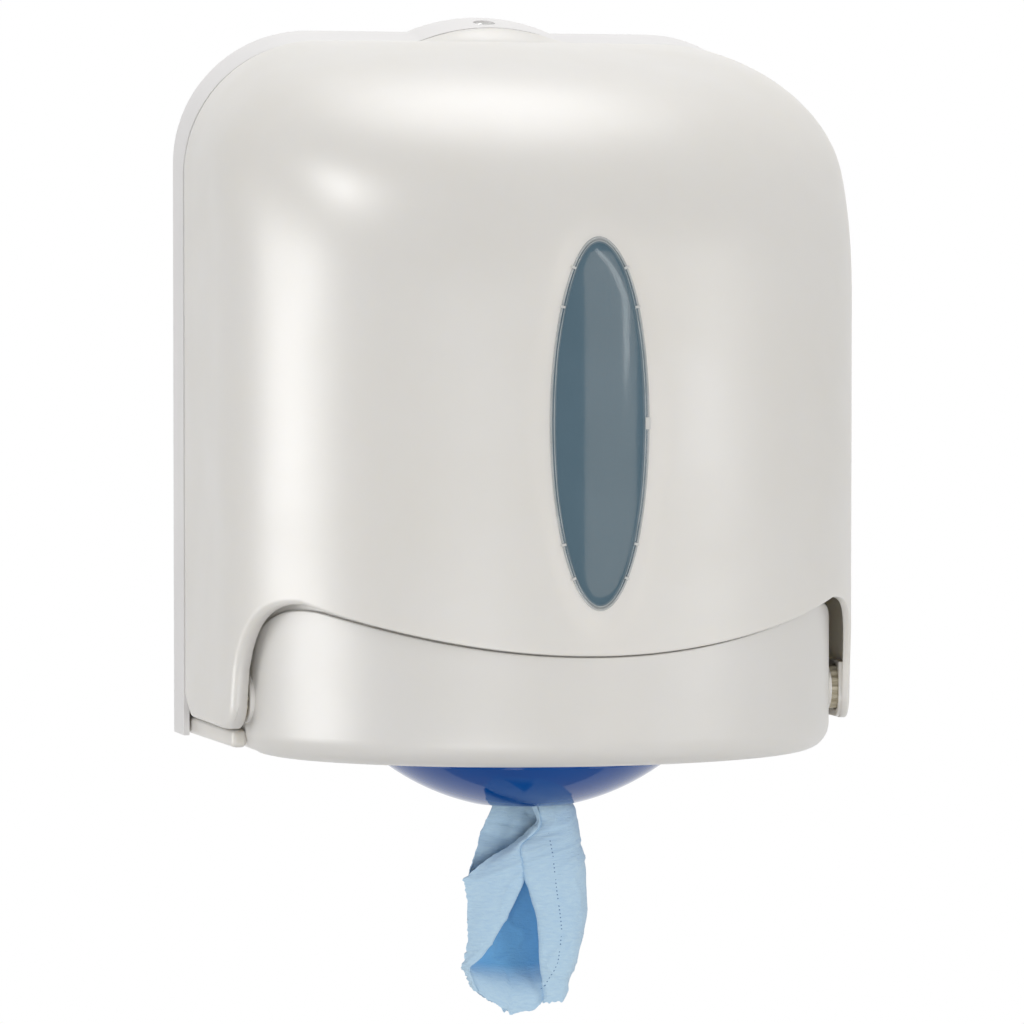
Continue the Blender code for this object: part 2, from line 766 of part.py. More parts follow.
hub_inner = TRAY_HALF + FIT_GAP * 2
hub_outer = hub_inner + HUB_REACH
hub_seat = boss_face - FIT_GAP
hub_screw_length = hub_inner + HUB_SCREW_HOLD - hub_seat
for side, word in ((-1, "left"), (1, "right")):
    ends = sorted((side * hub_inner, side * hub_outer))
    hub = prism(f"hinge_hub_{word}", hub_outline(), ends[0], ends[1], HUB_CREAM)
    seat = (side * hub_seat, -HINGE_DEPTH, up(HINGE_HEIGHT))
    hole = screw_hole(f"hinge_screw_{word}_hole", seat, (side, 0, 0), hub_screw_length)
    cut(tray, hole)
    cut(hub, hole)
    smooth(hub)
    screw(f"hinge_screw_{word}", seat, (side, 0, 0), hub_screw_length)


# Cover: one shell, open at the back and cut away round the tray

cover = solidify(case_surface("cover", finish=CASE_WHITE), WALL)

pads = solidify(case_surface("hinge_pads", inset=WALL / 2), PAD_THICKNESS - WALL / 2)
boolean(pads, box(
    "hinge_pad_zone",
    (-CASE_WIDTH, -LEG_FRONT - OVERRUN, up(LEG_BOTTOM - OVERRUN)),
    (CASE_WIDTH, -HINGE_DEPTH + PAD_REAR, up(LEG_BOTTOM + PAD_HEIGHT)),
), "INTERSECT")
join(cover, pads)

leg_front = []
for k in range(CORNER_STEPS + 1):
    turn = pi / 2 * k / CORNER_STEPS
    leg_front.append((
        LEG_FRONT - LEG_CORNER * (1 - sin(turn)), LEG_BOTTOM + LEG_CORNER * (1 - cos(turn))
    ))
cover_line = seam_line(
    (LEG_FRONT + LEG_LEAN, LEG_HEIGHT), HALF_WIDTH, CASE_DEPTH, 0, COVER_SWEEP_SHARES
)
cut(cover, prism(
    "tray_opening",
    [(LEG_FRONT - LEG_CORNER, LEG_BOTTOM - OVERRUN)] + leg_front + cover_line
    + [(CASE_DEPTH + OVERRUN, LEG_BOTTOM - OVERRUN)],
    -CASE_WIDTH, CASE_WIDTH,
))
cut(cover, prism(
    "leg_chamfer",
    [
        (COVER_REAR - OVERRUN, LEG_BOTTOM + LEG_CHAMFER_HEIGHT),
        (COVER_REAR, LEG_BOTTOM + LEG_CHAMFER_HEIGHT),
        (COVER_REAR + LEG_CHAMFER_DEPTH, LEG_BOTTOM),
        (COVER_REAR + LEG_CHAMFER_DEPTH, LEG_BOTTOM - OVERRUN),
        (COVER_REAR - OVERRUN, LEG_BOTTOM - OVERRUN),
    ],
    -CASE_WIDTH, CASE_WIDTH,
))
pad_face = HALF_WIDTH - PAD_THICKNESS
for side in (-1, 1):
    for name, end, radius in (
        ("hub_hole", hub_outer + FIT_GAP, HUB_DIAMETER / 2 + FIT_GAP),
        ("hub_recess", pad_face + PAD_RECESS, HUB_DIAMETER / 2 + RUN_GAP),
    ):
        cut(cover, rod(
            f"{name}_{side}", (side * BODY_HALF, -HINGE_DEPTH, up(HINGE_HEIGHT)),
            (side * end, -HINGE_DEPTH, up(HINGE_HEIGHT)), radius,
        ))


# Window: a smoked lens flush in the front, held by a ring inside


def window_rod(name, margin):
    """An upright ellipse pushed through the front wall, wider than the window by a margin."""
    return rod(
        name, (0, -CASE_DEPTH - OVERRUN, up(WINDOW_CENTRE)),
        (0, -CASE_DEPTH + OVERRUN, up(WINDOW_CENTRE)), 1, steps=WINDOW_STEPS,
        squeeze=(WINDOW_WIDTH / 2 + margin, WINDOW_HEIGHT / 2 + margin),
    )


cut(cover, window_rod("window_hole", 0))
window_lens = solidify(case_surface("window_lens", finish=LENS_SMOKE), WALL)
boolean(window_lens, window_rod("lens_edge", -FIT_GAP), "INTERSECT")
window_retainer = solidify(
    case_surface("window_retainer", WALL + FIT_GAP * 2, RETAINER_WHITE), RETAINER_THICKNESS
)
boolean(window_retainer, window_rod("retainer_edge", RETAINER_REACH), "INTERSECT")
cut(window_retainer, window_rod("retainer_bore", -RETAINER_LAP))


# Lock: a barrel in a housing on the back plate, whose cam hooks the catch on the cover

housing_top = CASE_TOP + HUMP_RISE / 2
housing_bottom = housing_top - HOUSING_HEIGHT
barrel_top = plate_top(LOCK_DEPTH) + HUMP_RISE - BARREL_SINK
barrel_bottom = housing_bottom - BARREL_STUB
cam_top = barrel_bottom - FIT_GAP
cam_bottom = cam_top - CAM_THICKNESS


def on_lock_axis(height):
    return (0, -LOCK_DEPTH, up(height))


lock_housing = box(
    "lock_housing",
    (-HOUSING_WIDTH / 2, -TRAY_REAR - HOUSING_DEPTH, up(housing_bottom)),
    (HOUSING_WIDTH / 2, -TRAY_REAR, up(housing_top)), LOCK_GREY,
)
cut(lock_housing, rod(
    "barrel_bore", on_lock_axis(housing_bottom - OVERRUN), on_lock_axis(housing_top + OVERRUN),
    BARREL_DIAMETER / 2 + FIT_GAP,
))
cut(back_plate, rod(
    "barrel_window", on_lock_axis(housing_top), on_lock_axis(barrel_top + OVERRUN),
    BARREL_DIAMETER / 2 + FIT_GAP,
))
for k, side in enumerate((-1, 1)):
    name = f"housing_screw_{k + 1}"
    x = side * HOUSING_SCREW_SPACING / 2
    z = up(housing_bottom + HOUSING_SCREW_RISE)
    seat = (x, -SCREW_SINK + FIT_GAP, z)
    hole = screw_hole(f"{name}_hole", seat, (0, -1, 0), SCREW_LENGTH)
    cut(lock_housing, hole)
    cut(back_plate, hole, rod(
        f"{name}_sink", (x, OVERRUN, z), (x, -SCREW_SINK, z),
        SCREW_HEAD_DIAMETER / 2 + FIT_GAP, steps=SCREW_STEPS,
    ))
    screw(name, seat, (0, -1, 0), SCREW_LENGTH)

flange_bottom = housing_top + FIT_GAP
lock_barrel = turned(
    "lock_barrel",
    [
        (0, up(barrel_top)), (BARREL_DIAMETER / 2, up(barrel_top)),
        (BARREL_DIAMETER / 2, up(flange_bottom + BARREL_FLANGE_HEIGHT)),
        (BARREL_FLANGE / 2, up(flange_bottom + BARREL_FLANGE_HEIGHT)),
        (BARREL_FLANGE / 2, up(flange_bottom)), (BARREL_DIAMETER / 2, up(flange_bottom)),
        (BARREL_DIAMETER / 2, up(barrel_bottom)), (0, up(barrel_bottom)),
    ],
    (0, -LOCK_DEPTH, 0), LOCK_GREY, closed=False,
)
cut(lock_barrel, box(
    "key_slot",
    (-KEY_SLOT_WIDTH / 2, -LOCK_DEPTH - KEY_SLOT_LENGTH / 2, up(barrel_top - KEY_SLOT_DEPTH)),
    (KEY_SLOT_WIDTH / 2, -LOCK_DEPTH + KEY_SLOT_LENGTH / 2, up(barrel_top + OVERRUN)),
))

lock_cam = rod("lock_cam", on_lock_axis(cam_bottom), on_lock_axis(cam_top), CAM_WIDTH / 2, ZINC)
join(
    lock_cam,
    box(
        "cam_arm", (-CAM_REACH, -LOCK_DEPTH - DOG_WIDTH / 2, up(cam_bottom)),
        (0, -LOCK_DEPTH + DOG_WIDTH / 2, up(cam_top)),
    ),
    box(
        "cam_dog", (-CAM_REACH, -LOCK_DEPTH - DOG_WIDTH / 2, up(cam_bottom)),
        (DOG_THICKNESS - CAM_REACH, -LOCK_DEPTH + DOG_WIDTH / 2, up(cam_top + DOG_HEIGHT)),
    ),
)
cam_seat = on_lock_axis(cam_bottom - FIT_GAP)
cam_hole = screw_hole("cam_screw_hole", cam_seat, (0, 0, 1), CAM_SCREW_LENGTH)
cut(lock_cam, cam_hole)
cut(lock_barrel, cam_hole)
cam_screw = screw("cam_screw", cam_seat, (0, 0, 1), CAM_SCREW_LENGTH)

tab_rear = LOCK_DEPTH + CAM_REACH - DOG_THICKNESS - CATCH_GAP - CATCH_THICKNESS
catch_top = CASE_TOP - CATCH_DROP
catch_bottom = catch_top - CATCH_THICKNESS
latch_catch = box(
    "latch_catch",
    (-CATCH_WIDTH / 2, -tab_rear - CATCH_LENGTH, up(catch_bottom)),
    (CATCH_WIDTH / 2, -tab_rear, up(catch_top)), LOCK_GREY,
)
join(latch_catch, box(
    "catch_tab",
    (-CATCH_TAB_WIDTH / 2, -tab_rear - CATCH_THICKNESS, up(catch_bottom - CATCH_TAB_DROP)),
    (CATCH_TAB_WIDTH / 2, -tab_rear, up(catch_top)),
))
catch_screws = []
for k, side in enumerate((-1, 1)):
    name = f"catch_screw_{k + 1}"
    x, y = side * CATCH_SCREW_SPACING / 2, -tab_rear - CATCH_SCREW_PLACE
    seat = (x, y, up(catch_bottom - FIT_GAP))
    join(cover, rod(
        f"{name}_boss", (x, y, up(catch_top + FIT_GAP)), (x, y, up(CASE_TOP - WALL / 2)),
        CATCH_BOSS_DIAMETER / 2, steps=SCREW_STEPS,
    ))
    hole = screw_hole(f"{name}_hole", seat, (0, 0, 1), CATCH_SCREW_LENGTH)
    cut(latch_catch, hole)
    cut(cover, hole)
    catch_screws.append(screw(name, seat, (0, 0, 1), CATCH_SCREW_LENGTH))
smooth(back_plate)
smooth(tray)
smooth(cover)


# Dome under the tray: a bayonet neck, a shoulder and a bowl with a hole for the wipe


def sphere_height(across, radius):
    """Height of a ball's underside, whose outer one hangs down by the dome's drop."""
    return DOME_RADIUS - DOME_DROP - sqrt(radius**2 - across**2)


dome_inner = DOME_RADIUS - DOME_WALL
neck_top = FLOOR_TOP + FIT_GAP + LUG_HEIGHT
neck_bore = DOME_NECK - DOME_NECK_WALL
ball_steps = DOME_STEPS // 4
outer_side = []
inner_side = []
for k in range(ball_steps + 1):
    across = DOME_EDGE + (DOME_HOLE + DOME_LIP - DOME_EDGE) * k / ball_steps
    outer_side.append((across, sphere_height(across, DOME_RADIUS)))
    across = DOME_HOLE + (neck_bore - DOME_HOLE) * k / ball_steps
    inner_side.append((across, sphere_height(across, dome_inner)))
nozzle_bowl = turned(
    "nozzle_bowl",
    [
        (DOME_NECK, neck_top), (DOME_NECK, -FIT_GAP), (DOME_SHOULDER, -FIT_GAP),
        (DOME_SHOULDER, -FIT_GAP - DOME_SHOULDER_HEIGHT), *outer_side,
        (DOME_HOLE, sphere_height(DOME_HOLE, DOME_RADIUS) + DOME_LIP / 2), *inner_side,
        (neck_bore, neck_top),
    ],
    nozzle_place, DOME_BLUE, DOME_STEPS,
)
for angle in lug_angles:
    join(nozzle_bowl, spoke(
        f"lug_{angle:.0f}", (0, -NOZZLE_DEPTH, up(neck_top - LUG_HEIGHT)), angle,
        DOME_NECK - LUG_ROOT, DOME_NECK + LUG_REACH, LUG_WIDTH, LUG_HEIGHT,
    ))


# Roll of wipes on its seat, and the wipe that hangs out of its middle

roll_bottom = SEAT_TOP + FIT_GAP
wipes_roll = turned(
    "wipes_roll",
    [
        (ROLL_RADIUS - ROLL_EDGE, roll_bottom + ROLL_HEIGHT),
        (ROLL_RADIUS, roll_bottom + ROLL_HEIGHT - ROLL_EDGE),
        (ROLL_RADIUS, roll_bottom + ROLL_EDGE), (ROLL_RADIUS - ROLL_EDGE, roll_bottom),
        (ROLL_BORE, roll_bottom), (ROLL_BORE, roll_bottom + ROLL_HEIGHT),
    ],
    (0, -ROLL_DEPTH, up(0)), WIPE_BLUE, ROLL_STEPS,
)

# Each row: its height and its lean to the roll, its left and right edge and its depth.
# Heights are shares of the drop, negative above the tray's bottom; the edges are shares of
# the half width, the depth of the half depth, and the lean runs from the dome to the roll.
WIPE_ROW_SHARES = (
    (-0.450, 1.00, -0.30, 0.30, 0.17),
    (-0.310, 0.78, -0.37, 0.37, 0.31),
    (-0.155, 0.42, -0.41, 0.41, 0.52),
    (0.000, 0.13, -0.46, 0.47, 0.70),
    (0.108, 0.02, -0.50, 0.52, 0.78),
    (0.186, 0.00, -0.53, 0.56, 0.81),
    (0.242, 0.00, -0.50, 0.76, 0.88),
    (0.300, 0.00, -0.60, 0.83, 0.93),
    (0.380, 0.00, -0.72, 0.90, 0.97),
    (0.515, 0.00, -0.87, 1.00, 1.00),
    (0.650, 0.00, -0.93, 1.02, 0.97),
    (0.765, 0.00, -0.90, 0.92, 0.90),
    (0.880, 0.00, -0.93, 0.84, 0.82),
    (1.000, 0.00, -0.84, 0.75, 0.68),
)
wipe_top_depth = (
    ROLL_DEPTH - ROLL_BORE + FIT_GAP + WIPE_THICKNESS / 2
    + WIPE_HALF_DEPTH * WIPE_ROW_SHARES[0][4] * (1 + WIPE_FOLD_SHARE)
)
free_share = WIPE_ROW_SHARES[6][0]
wipe_rows = []
for height_share, lean_share, left_share, right_share, depth_share in WIPE_ROW_SHARES:
    centre = WIPE_HALF_WIDTH * (left_share + right_share) / 2
    half = WIPE_HALF_WIDTH * (right_share - left_share) / 2
    depth = NOZZLE_DEPTH + (wipe_top_depth - NOZZLE_DEPTH) * lean_share
    hem_share = max(height_share - free_share, 0) / (1 - free_share)
    row = []
    for k in range(WIPE_STEPS + 1):
        turn = radians((360 - WIPE_SLIT) * (k / WIPE_STEPS - 1 / 2))
        fold = 1 + WIPE_FOLD_SHARE * cos(WIPE_FOLDS * turn + 2 * hem_share)
        x = centre + half * sin(turn) * fold
        hem = WIPE_HEM_RISE * ((x + WIPE_TIP_OFFSET) / WIPE_HALF_WIDTH) ** 2 * hem_share
        y = -depth + WIPE_HALF_DEPTH * depth_share * cos(turn) * fold
        row.append((x, y, up(hem - WIPE_DROP * height_share)))
    wipe_rows.append(row)
hanging_wipe = solidify(
    loft("hanging_wipe", wipe_rows, WIPE_BLUE, capped=False), WIPE_THICKNESS, offset=0
)
smooth(hanging_wipe, 80)


# Axes of the moving pieces


def hang(name, place, *things):
    """Parents pieces and their cutters to an empty on their joint's axis."""
    axis = bpy.data.objects.new(name, None)
    axis.location = place
    parts.objects.link(axis)
    for thing in things:
        followers = [step.object for step in thing.modifiers if step.type == "BOOLEAN"]
        for item in (thing, *followers):
            item.parent = axis
            item.matrix_parent_inverse = Matrix.Translation(place).inverted()


hang(
    "cover_axis", (0, -HINGE_DEPTH, up(HINGE_HEIGHT)), cover, window_lens, window_retainer,
    latch_catch, *catch_screws,
)
hang("lock_axis", on_lock_axis(housing_top), lock_barrel, lock_cam, cam_screw)
hang("nozzle_axis", nozzle_place, nozzle_bowl)
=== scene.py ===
"""Dressed model of a wall dispenser for workshop wipes.

A moulded case in warm white hangs on the wall: back plate, tray and swing-down cover. A
smoked window shows the roll, and a blue wipe comes out of the glossy dome underneath.
Everything is in metres in the frame of the solids: the wall is y = 0, the front faces -Y.
"""
from math import acos, asin, atan2, cos, hypot, pi, radians, sin, sqrt

import bmesh
import bpy
import numpy as np
from mathutils import Matrix, Vector, noise
from mathutils.bvhtree import BVHTree


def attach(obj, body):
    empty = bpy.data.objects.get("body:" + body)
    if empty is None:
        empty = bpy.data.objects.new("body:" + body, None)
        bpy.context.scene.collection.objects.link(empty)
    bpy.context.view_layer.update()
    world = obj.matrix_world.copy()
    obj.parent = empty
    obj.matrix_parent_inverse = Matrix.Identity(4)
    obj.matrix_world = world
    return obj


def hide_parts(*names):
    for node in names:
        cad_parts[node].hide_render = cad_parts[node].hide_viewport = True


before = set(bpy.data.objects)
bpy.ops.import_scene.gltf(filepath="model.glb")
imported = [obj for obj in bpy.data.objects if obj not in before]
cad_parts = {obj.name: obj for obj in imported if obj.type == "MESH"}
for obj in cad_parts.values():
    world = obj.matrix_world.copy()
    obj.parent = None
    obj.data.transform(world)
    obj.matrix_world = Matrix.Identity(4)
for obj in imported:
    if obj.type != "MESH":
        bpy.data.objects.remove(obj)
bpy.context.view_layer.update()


# Back plate. One white moulding, screwed to the wall: a shallow tray whose rim follows the
# arch of the case and its round hump. A thin lip inside the rim keeps dust out of the seam.
# Two ribs stiffen it, and it hangs by keyholes on two of its four screws.

CASE_WIDTH, CASE_DEPTH, CASE_TOP = 0.300, 0.230, 0.330
HALF_WIDTH = CASE_WIDTH / 2
MOUNT_HEIGHT = 0.160
CORNER_WIDTH, CORNER_HEIGHT = 0.066, 0.064
HUMP_WIDTH, HUMP_RISE, HUMP_RUN = 0.0712, 0.0072, 0.016
WALL = 0.0027
PLATE_DEPTH, PLATE_FALL = 0.025, 0.0058
SEAM_GAP, FIT_GAP = 0.0008, 0.0003
MERGE = 0.00002


def up(height):
    """World height of a point so far above the bottom edge of the case."""
    return height - MOUNT_HEIGHT


def hump_rise(across):
    """How far the round hump stands above the flat top, so far from the middle."""
    half = HUMP_WIDTH / 2
    if abs(across) >= half:
        return 0.0
    radius = (half**2 + HUMP_RISE**2) / (HUMP_RISE * 2)
    return sqrt(radius**2 - across**2) - (radius - HUMP_RISE)


def plate_top(depth):
    return CASE_TOP + PLATE_FALL * max(1 - depth / PLATE_DEPTH, 0)


def arch_points(depth, inset=0.0, bottom=0.0, corner=22, hump=28, side=6):
    """The arch at a depth, from its left foot over the hump to its right foot."""
    half, start = HALF_WIDTH - inset, plate_top(depth) - CORNER_HEIGHT
    points = [(-half, bottom + (start - bottom) * k / side) for k in range(side)]
    for k in range(corner + 1):
        turn = pi / 2 * k / corner
        points.append((
            -half + (CORNER_WIDTH - inset) * (1 - cos(turn)),
            start + (CORNER_HEIGHT - inset) * sin(turn),
        ))
    for k in range(hump // 2 + 1):
        across = HUMP_WIDTH / 2 * (2 * k / hump - 1)
        points.append((across, start + CORNER_HEIGHT - inset + hump_rise(across)))
    return points + [(-x, height) for x, height in reversed(points[:-1])]


def draw_skin(columns, rows, place):
    """A sheet of faces whose corner in column i and row j lies at place(i, j)."""
    work = bmesh.new()
    made = bmesh.ops.create_grid(work, x_segments=columns, y_segments=rows, size=1)["verts"]
    for corner in made:
        i = round((corner.co.x + 1) / 2 * columns)
        j = round((corner.co.y + 1) / 2 * rows)
        corner.co = place(i, j)
    return work


def arch_skin(rows, bottom=0.0, closed=False):
    """A skin through an arch for each (depth, inset) row, closed along the foot or open there."""
    arches = [arch_points(depth, inset, bottom) for depth, inset in rows]
    count = len(arches[0])

    def place(i, j):
        x, height = arches[j][i % count]
        return (x, -rows[j][0], up(height))

    return draw_skin(count if closed else count - 1, len(rows) - 1, place)


work = arch_skin([(PLATE_DEPTH * k / 6, 0.0) for k in range(7)], closed=True)
bmesh.ops.remove_doubles(work, verts=work.verts, dist=MERGE)
rear_edges = [edge for edge in work.edges if all(abs(v.co.y) < 1e-6 for v in edge.verts)]
bmesh.ops.contextual_create(work, geom=rear_edges)
bmesh.ops.recalc_face_normals(work, faces=work.faces)
if max(work.faces, key=lambda face: face.calc_area()).normal.y < 0:
    bmesh.ops.reverse_faces(work, faces=work.faces)


def dial(node, settings):
    """Sets a node's inputs; a socket given in place of a value is wired in."""
    for key, value in settings.items():
        if isinstance(value, bpy.types.NodeSocket):
            node.id_data.links.new(value, node.inputs[key])
        else:
            node.inputs[key].default_value = value
    return node


def add_node(tree, kind, settings=None, **looks):
    """A new shader node in a tree, with its looks and its inputs set."""
    node = tree.nodes.new("ShaderNode" + kind)
    for key, value in looks.items():
        setattr(node, key, value)
    return dial(node, settings or {})


def maths(tree, operation, *terms):
    """What a maths node makes of its terms, which are numbers or sockets."""
    return add_node(tree, "Math", dict(enumerate(terms)), operation=operation).outputs[0]


def mix_tone(tree, factor, a, b):
    return add_node(tree, "Mix", {"Factor": factor, "A": a, "B": b}, data_type="RGBA").outputs["Result"]


def new_group(name, given, made):
    """A node group with its inputs and outputs: the group, its input sockets and its output node."""
    group = bpy.data.node_groups.new(name, "ShaderNodeTree")
    for title, value in given.items():
        kind = "Float" if isinstance(value, float) else "Color" if len(value) == 4 else "Vector"
        socket = group.interface.new_socket(title, in_out="INPUT", socket_type="NodeSocket" + kind)
        socket.default_value = value
    for title, kind in made.items():
        group.interface.new_socket(title, in_out="OUTPUT", socket_type="NodeSocket" + kind)
    return group, group.nodes.new("NodeGroupInput").outputs, group.nodes.new("NodeGroupOutput")


def moulded_skin():
    """Group for mouldings: a slow drift of tone and gloss, and a fine cast grain."""
    group, given, out = new_group("moulded_skin", {
        "Colour": (0.8, 0.8, 0.8, 1), "Shade": (0.7, 0.7, 0.7, 1), "Roughness": 0.4, "Spread": 0.1,
        "Tone Scale": 14.0, "Grain Scale": 1400.0, "Relief": 0.1,
    }, {"Colour": "Color", "Roughness": "Float", "Normal": "Vector"})
    place = add_node(group, "TexCoord").outputs["Object"]
    drift, grain = (
        add_node(group, "TexNoise", {"Vector": place, "Scale": given[scale], "Detail": detail}).outputs["Fac"]
        for scale, detail in (("Tone Scale", 5), ("Grain Scale", 3))
    )
    spread = add_node(group, "MapRange", {"From Min": 0.34, "From Max": 0.66, "Value": drift})
    spread = spread.outputs["Result"]
    bump = add_node(group, "Bump", {"Distance": 0.0001, "Strength": given["Relief"], "Height": grain})
    dial(out, {
        "Colour": mix_tone(group, spread, given["Colour"], given["Shade"]),
        "Roughness": maths(group, "MULTIPLY_ADD", spread, given["Spread"], given["Roughness"]),
        "Normal": bump.outputs["Normal"],
    })
    return group


MOULDED_SKIN = moulded_skin()


def skinned(name, group, settings, surface):
    """A material with a node group on it; the surface takes values, or the group's outputs by name."""
    finish = bpy.data.materials.new(name)
    finish.use_nodes = True
    skin = add_node(finish.node_tree, "Group", settings, node_tree=group)
    dial(finish.node_tree.nodes["Principled BSDF"], {
        key: skin.outputs[value] if isinstance(value, str) else value for key, value in surface.items()
    })
    return finish


def moulding(name, colour, shade, roughness, spread=0.06, tone=14.0, grain=1400.0, relief=0.10, **surface):
    """A plastic finish with the moulded skin on it. Other settings of the surface are given by
    their names, with low lines for the spaces."""
    return skinned(name, MOULDED_SKIN, {
        "Colour": (*colour, 1), "Shade": (*shade, 1), "Roughness": roughness, "Spread": spread,
        "Tone Scale": tone, "Grain Scale": grain, "Relief": relief,
    }, {
        "Base Color": "Colour", "Roughness": "Roughness", "Normal": "Normal",
        **{key.replace("_", " "): value for key, value in surface.items()},
    })


def stand_up(name, work):
    """Makes an object of a shape that was drawn."""
    mesh = bpy.data.meshes.new(name)
    work.to_mesh(mesh)
    work.free()
    made = bpy.data.objects.new(name, mesh)
    bpy.context.scene.collection.objects.link(made)
    return made


def add_piece(name, work, finish, body, slot, *nodes):
    """Puts a finished shape on the dispenser, riding on a body in place of its solids."""
    made = stand_up(name, work)
    made.data.materials.append(finish)
    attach(made, body)
    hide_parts(*nodes)
    return made


def wall_it(made, thickness, offset=-1):
    wall = made.modifiers.new("wall", "SOLIDIFY")
    wall.thickness, wall.offset, wall.use_even_offset = thickness, offset, True
    return made


def settle(made, angle=32):
    """Applies a piece's modifiers, and shades it round between its crisp edges."""
    if made.modifiers:
        graph = bpy.context.evaluated_depsgraph_get()
        graph.update()
        mesh = bpy.data.meshes.new_from_object(made.evaluated_get(graph))
        made.modifiers.clear()
        made.data = mesh
        mesh.name = made.name
    made.data.shade_smooth()
    made.data.set_sharp_from_angle(angle=radians(angle))
    return made


PLATE_WHITE = moulding(
    "plate_white", (0.835, 0.820, 0.810), (0.805, 0.790, 0.785), 0.42, spread=0.08, relief=0.12
)
back_plate = add_piece("case_back", work, PLATE_WHITE, "base", "plate_white", "back_plate")
settle(wall_it(back_plate, WALL))


def ease_edges(work, width, segments, edges=None):
    """Rounds off edges of a shape: the given ones, or all that bend by more than a radian."""
    edges = edges or [edge for edge in work.edges if edge.calc_face_angle(0) > 1]
    bmesh.ops.bevel(
        work, geom=edges, offset=width, segments=segments, profile=0.5, affect="EDGES", material=-1
    )


def block(low, high, round_off=0.0, segments=3, matrix=Matrix.Identity(4), work=None):
    """A box between two corners, with its edges rounded off."""
    low, high = Vector(low), Vector(high)
    work = work or bmesh.new()
    made = bmesh.ops.create_cube(work, size=1)["verts"]
    bmesh.ops.scale(work, vec=high - low, verts=made)
    bmesh.ops.translate(work, vec=(low + high) / 2, verts=made)
    bmesh.ops.transform(work, matrix=matrix, verts=made)
    if round_off:
        ease_edges(work, round_off, segments, list({edge for corner in made for edge in corner.link_edges}))
    return work


def carve(made, *tools, how="DIFFERENCE"):
    """Cuts tools out of a piece, or joins them to it."""
    for work in tools:
        tool = stand_up("tool", work)
        step = made.modifiers.new("cut", "BOOLEAN")
        step.operation, step.solver, step.object = how, "EXACT", tool
        settle(made)
        bpy.data.objects.remove(tool)
    return made


LIP_BOTTOM = 0.022
LIP_ROWS = (
    (PLATE_DEPTH - 0.007, WALL - 0.0007), (PLATE_DEPTH, WALL + 0.001), (PLATE_DEPTH + 0.0035, WALL + 0.001)
)
work = arch_skin(LIP_ROWS, LIP_BOTTOM)
bmesh.ops.recalc_face_normals(work, faces=work.faces)
if sum(face.normal.x * face.calc_center_median().x for face in work.faces) < 0:
    bmesh.ops.reverse_faces(work, faces=work.faces)
lip = add_piece("case_back_lip", work, PLATE_WHITE, "base", "plate_white", "back_plate")
wall_it(lip, 0.0014)
carve(lip, block(
    (-HUMP_WIDTH / 2 - 0.007, -0.06, up(CASE_TOP - 0.02)), (HUMP_WIDTH / 2 + 0.007, 0, up(CASE_TOP + 0.02))
))

RIB_X = 0.048
work = None
for x in (-RIB_X, RIB_X):
    low, high = (x - 0.001, -WALL - 0.0035, up(0.095)), (x + 0.001, -WALL + 0.0007, up(0.295))
    work = block(low, high, 0.0004, 2, work=work)
settle(add_piece("case_back_ribs", work, PLATE_WHITE, "base", "plate_white", "back_plate"))


def rod(start, end, radius, steps=48, squeeze=(1, 1), work=None):
    """A cylinder between two points, or an elliptic one."""
    start, end = Vector(start), Vector(end)
    turn = Vector((0, 0, 1)).rotation_difference(end - start).to_matrix().to_4x4()
    work = work or bmesh.new()
    made = bmesh.ops.create_cone(
        work, cap_ends=True, segments=steps, radius1=radius, radius2=radius,
        depth=(end - start).length,
    )["verts"]
    bmesh.ops.scale(work, vec=(*squeeze, 1), verts=made)
    bmesh.ops.transform(work, matrix=Matrix.Translation((start + end) / 2) @ turn, verts=made)
    return work


def rods(places, start, end, radius, steps=24, work=None):
    """Rods from one y to another at some (x, z) places, to build with or to bore with."""
    for x, z in places:
        work = rod((x, start, z), (x, end, z), radius, steps, work=work)
    return work


def upright(x, depth, low, high, radius, steps=24, work=None):
    """An upright rod between two heights above the bottom edge of the case."""
    return rod((x, -depth, up(low)), (x, -depth, up(high)), radius, steps, work=work)


def soften(made, width, angle):
    """Rounds the edges of a finished piece that turn by more than an angle."""
    edge = made.modifiers.new("edge", "BEVEL")
    edge.width, edge.segments, edge.limit_method, edge.angle_limit = width, 2, "ANGLE", radians(angle)
    return made


BODY_HALF, BODY_DEPTH = 0.137, 0.2245
HOLE_X, HOLE_RISE, KEYHOLE_LOW = 0.095, 0.075, 0.066
TRAY_SCREW_X, TRAY_SCREW_HEIGHTS = 0.112, (0.014, 0.060)
HOUSING_SCREW_X, HOUSING_SCREW_HEIGHT = 0.010, 0.3220
SCREW_BORE, SCREW_HEAD = 0.0017, 0.0034
LOCK_DEPTH, LOCK_BORE = 0.0125, 0.0053
tray_screws = [(side * TRAY_SCREW_X, up(height)) for side in (-1, 1) for height in TRAY_SCREW_HEIGHTS]
housing_screws = [(side * HOUSING_SCREW_X, up(HOUSING_SCREW_HEIGHT)) for side in (-1, 1)]
holes = [(side * HOLE_X, z) for side in (-1, 1) for z in (-HOLE_RISE, HOLE_RISE)]
work = rods(holes, 0.01, -0.01, 0.00275, 32)
carve(back_plate, rods(tray_screws + housing_screws, 0.01, -0.0018, SCREW_HEAD, 32, work))
work = rods([(-HOLE_X, KEYHOLE_LOW), (HOLE_X, KEYHOLE_LOW)], 0.01, -0.01, 0.00525, 32)
carve(back_plate, rods(tray_screws + housing_screws, 0.01, -0.01, SCREW_BORE, work=work))
work = None
for x in (-HOLE_X, HOLE_X):
    work = block((x - 0.00245, -0.01, KEYHOLE_LOW), (x + 0.00245, 0.01, HOLE_RISE), work=work)
low, high = (-HALF_WIDTH + WALL, -0.045, up(-0.02)), (HALF_WIDTH - WALL, -WALL, up(WALL + FIT_GAP))
work = block(low, high, work=work)
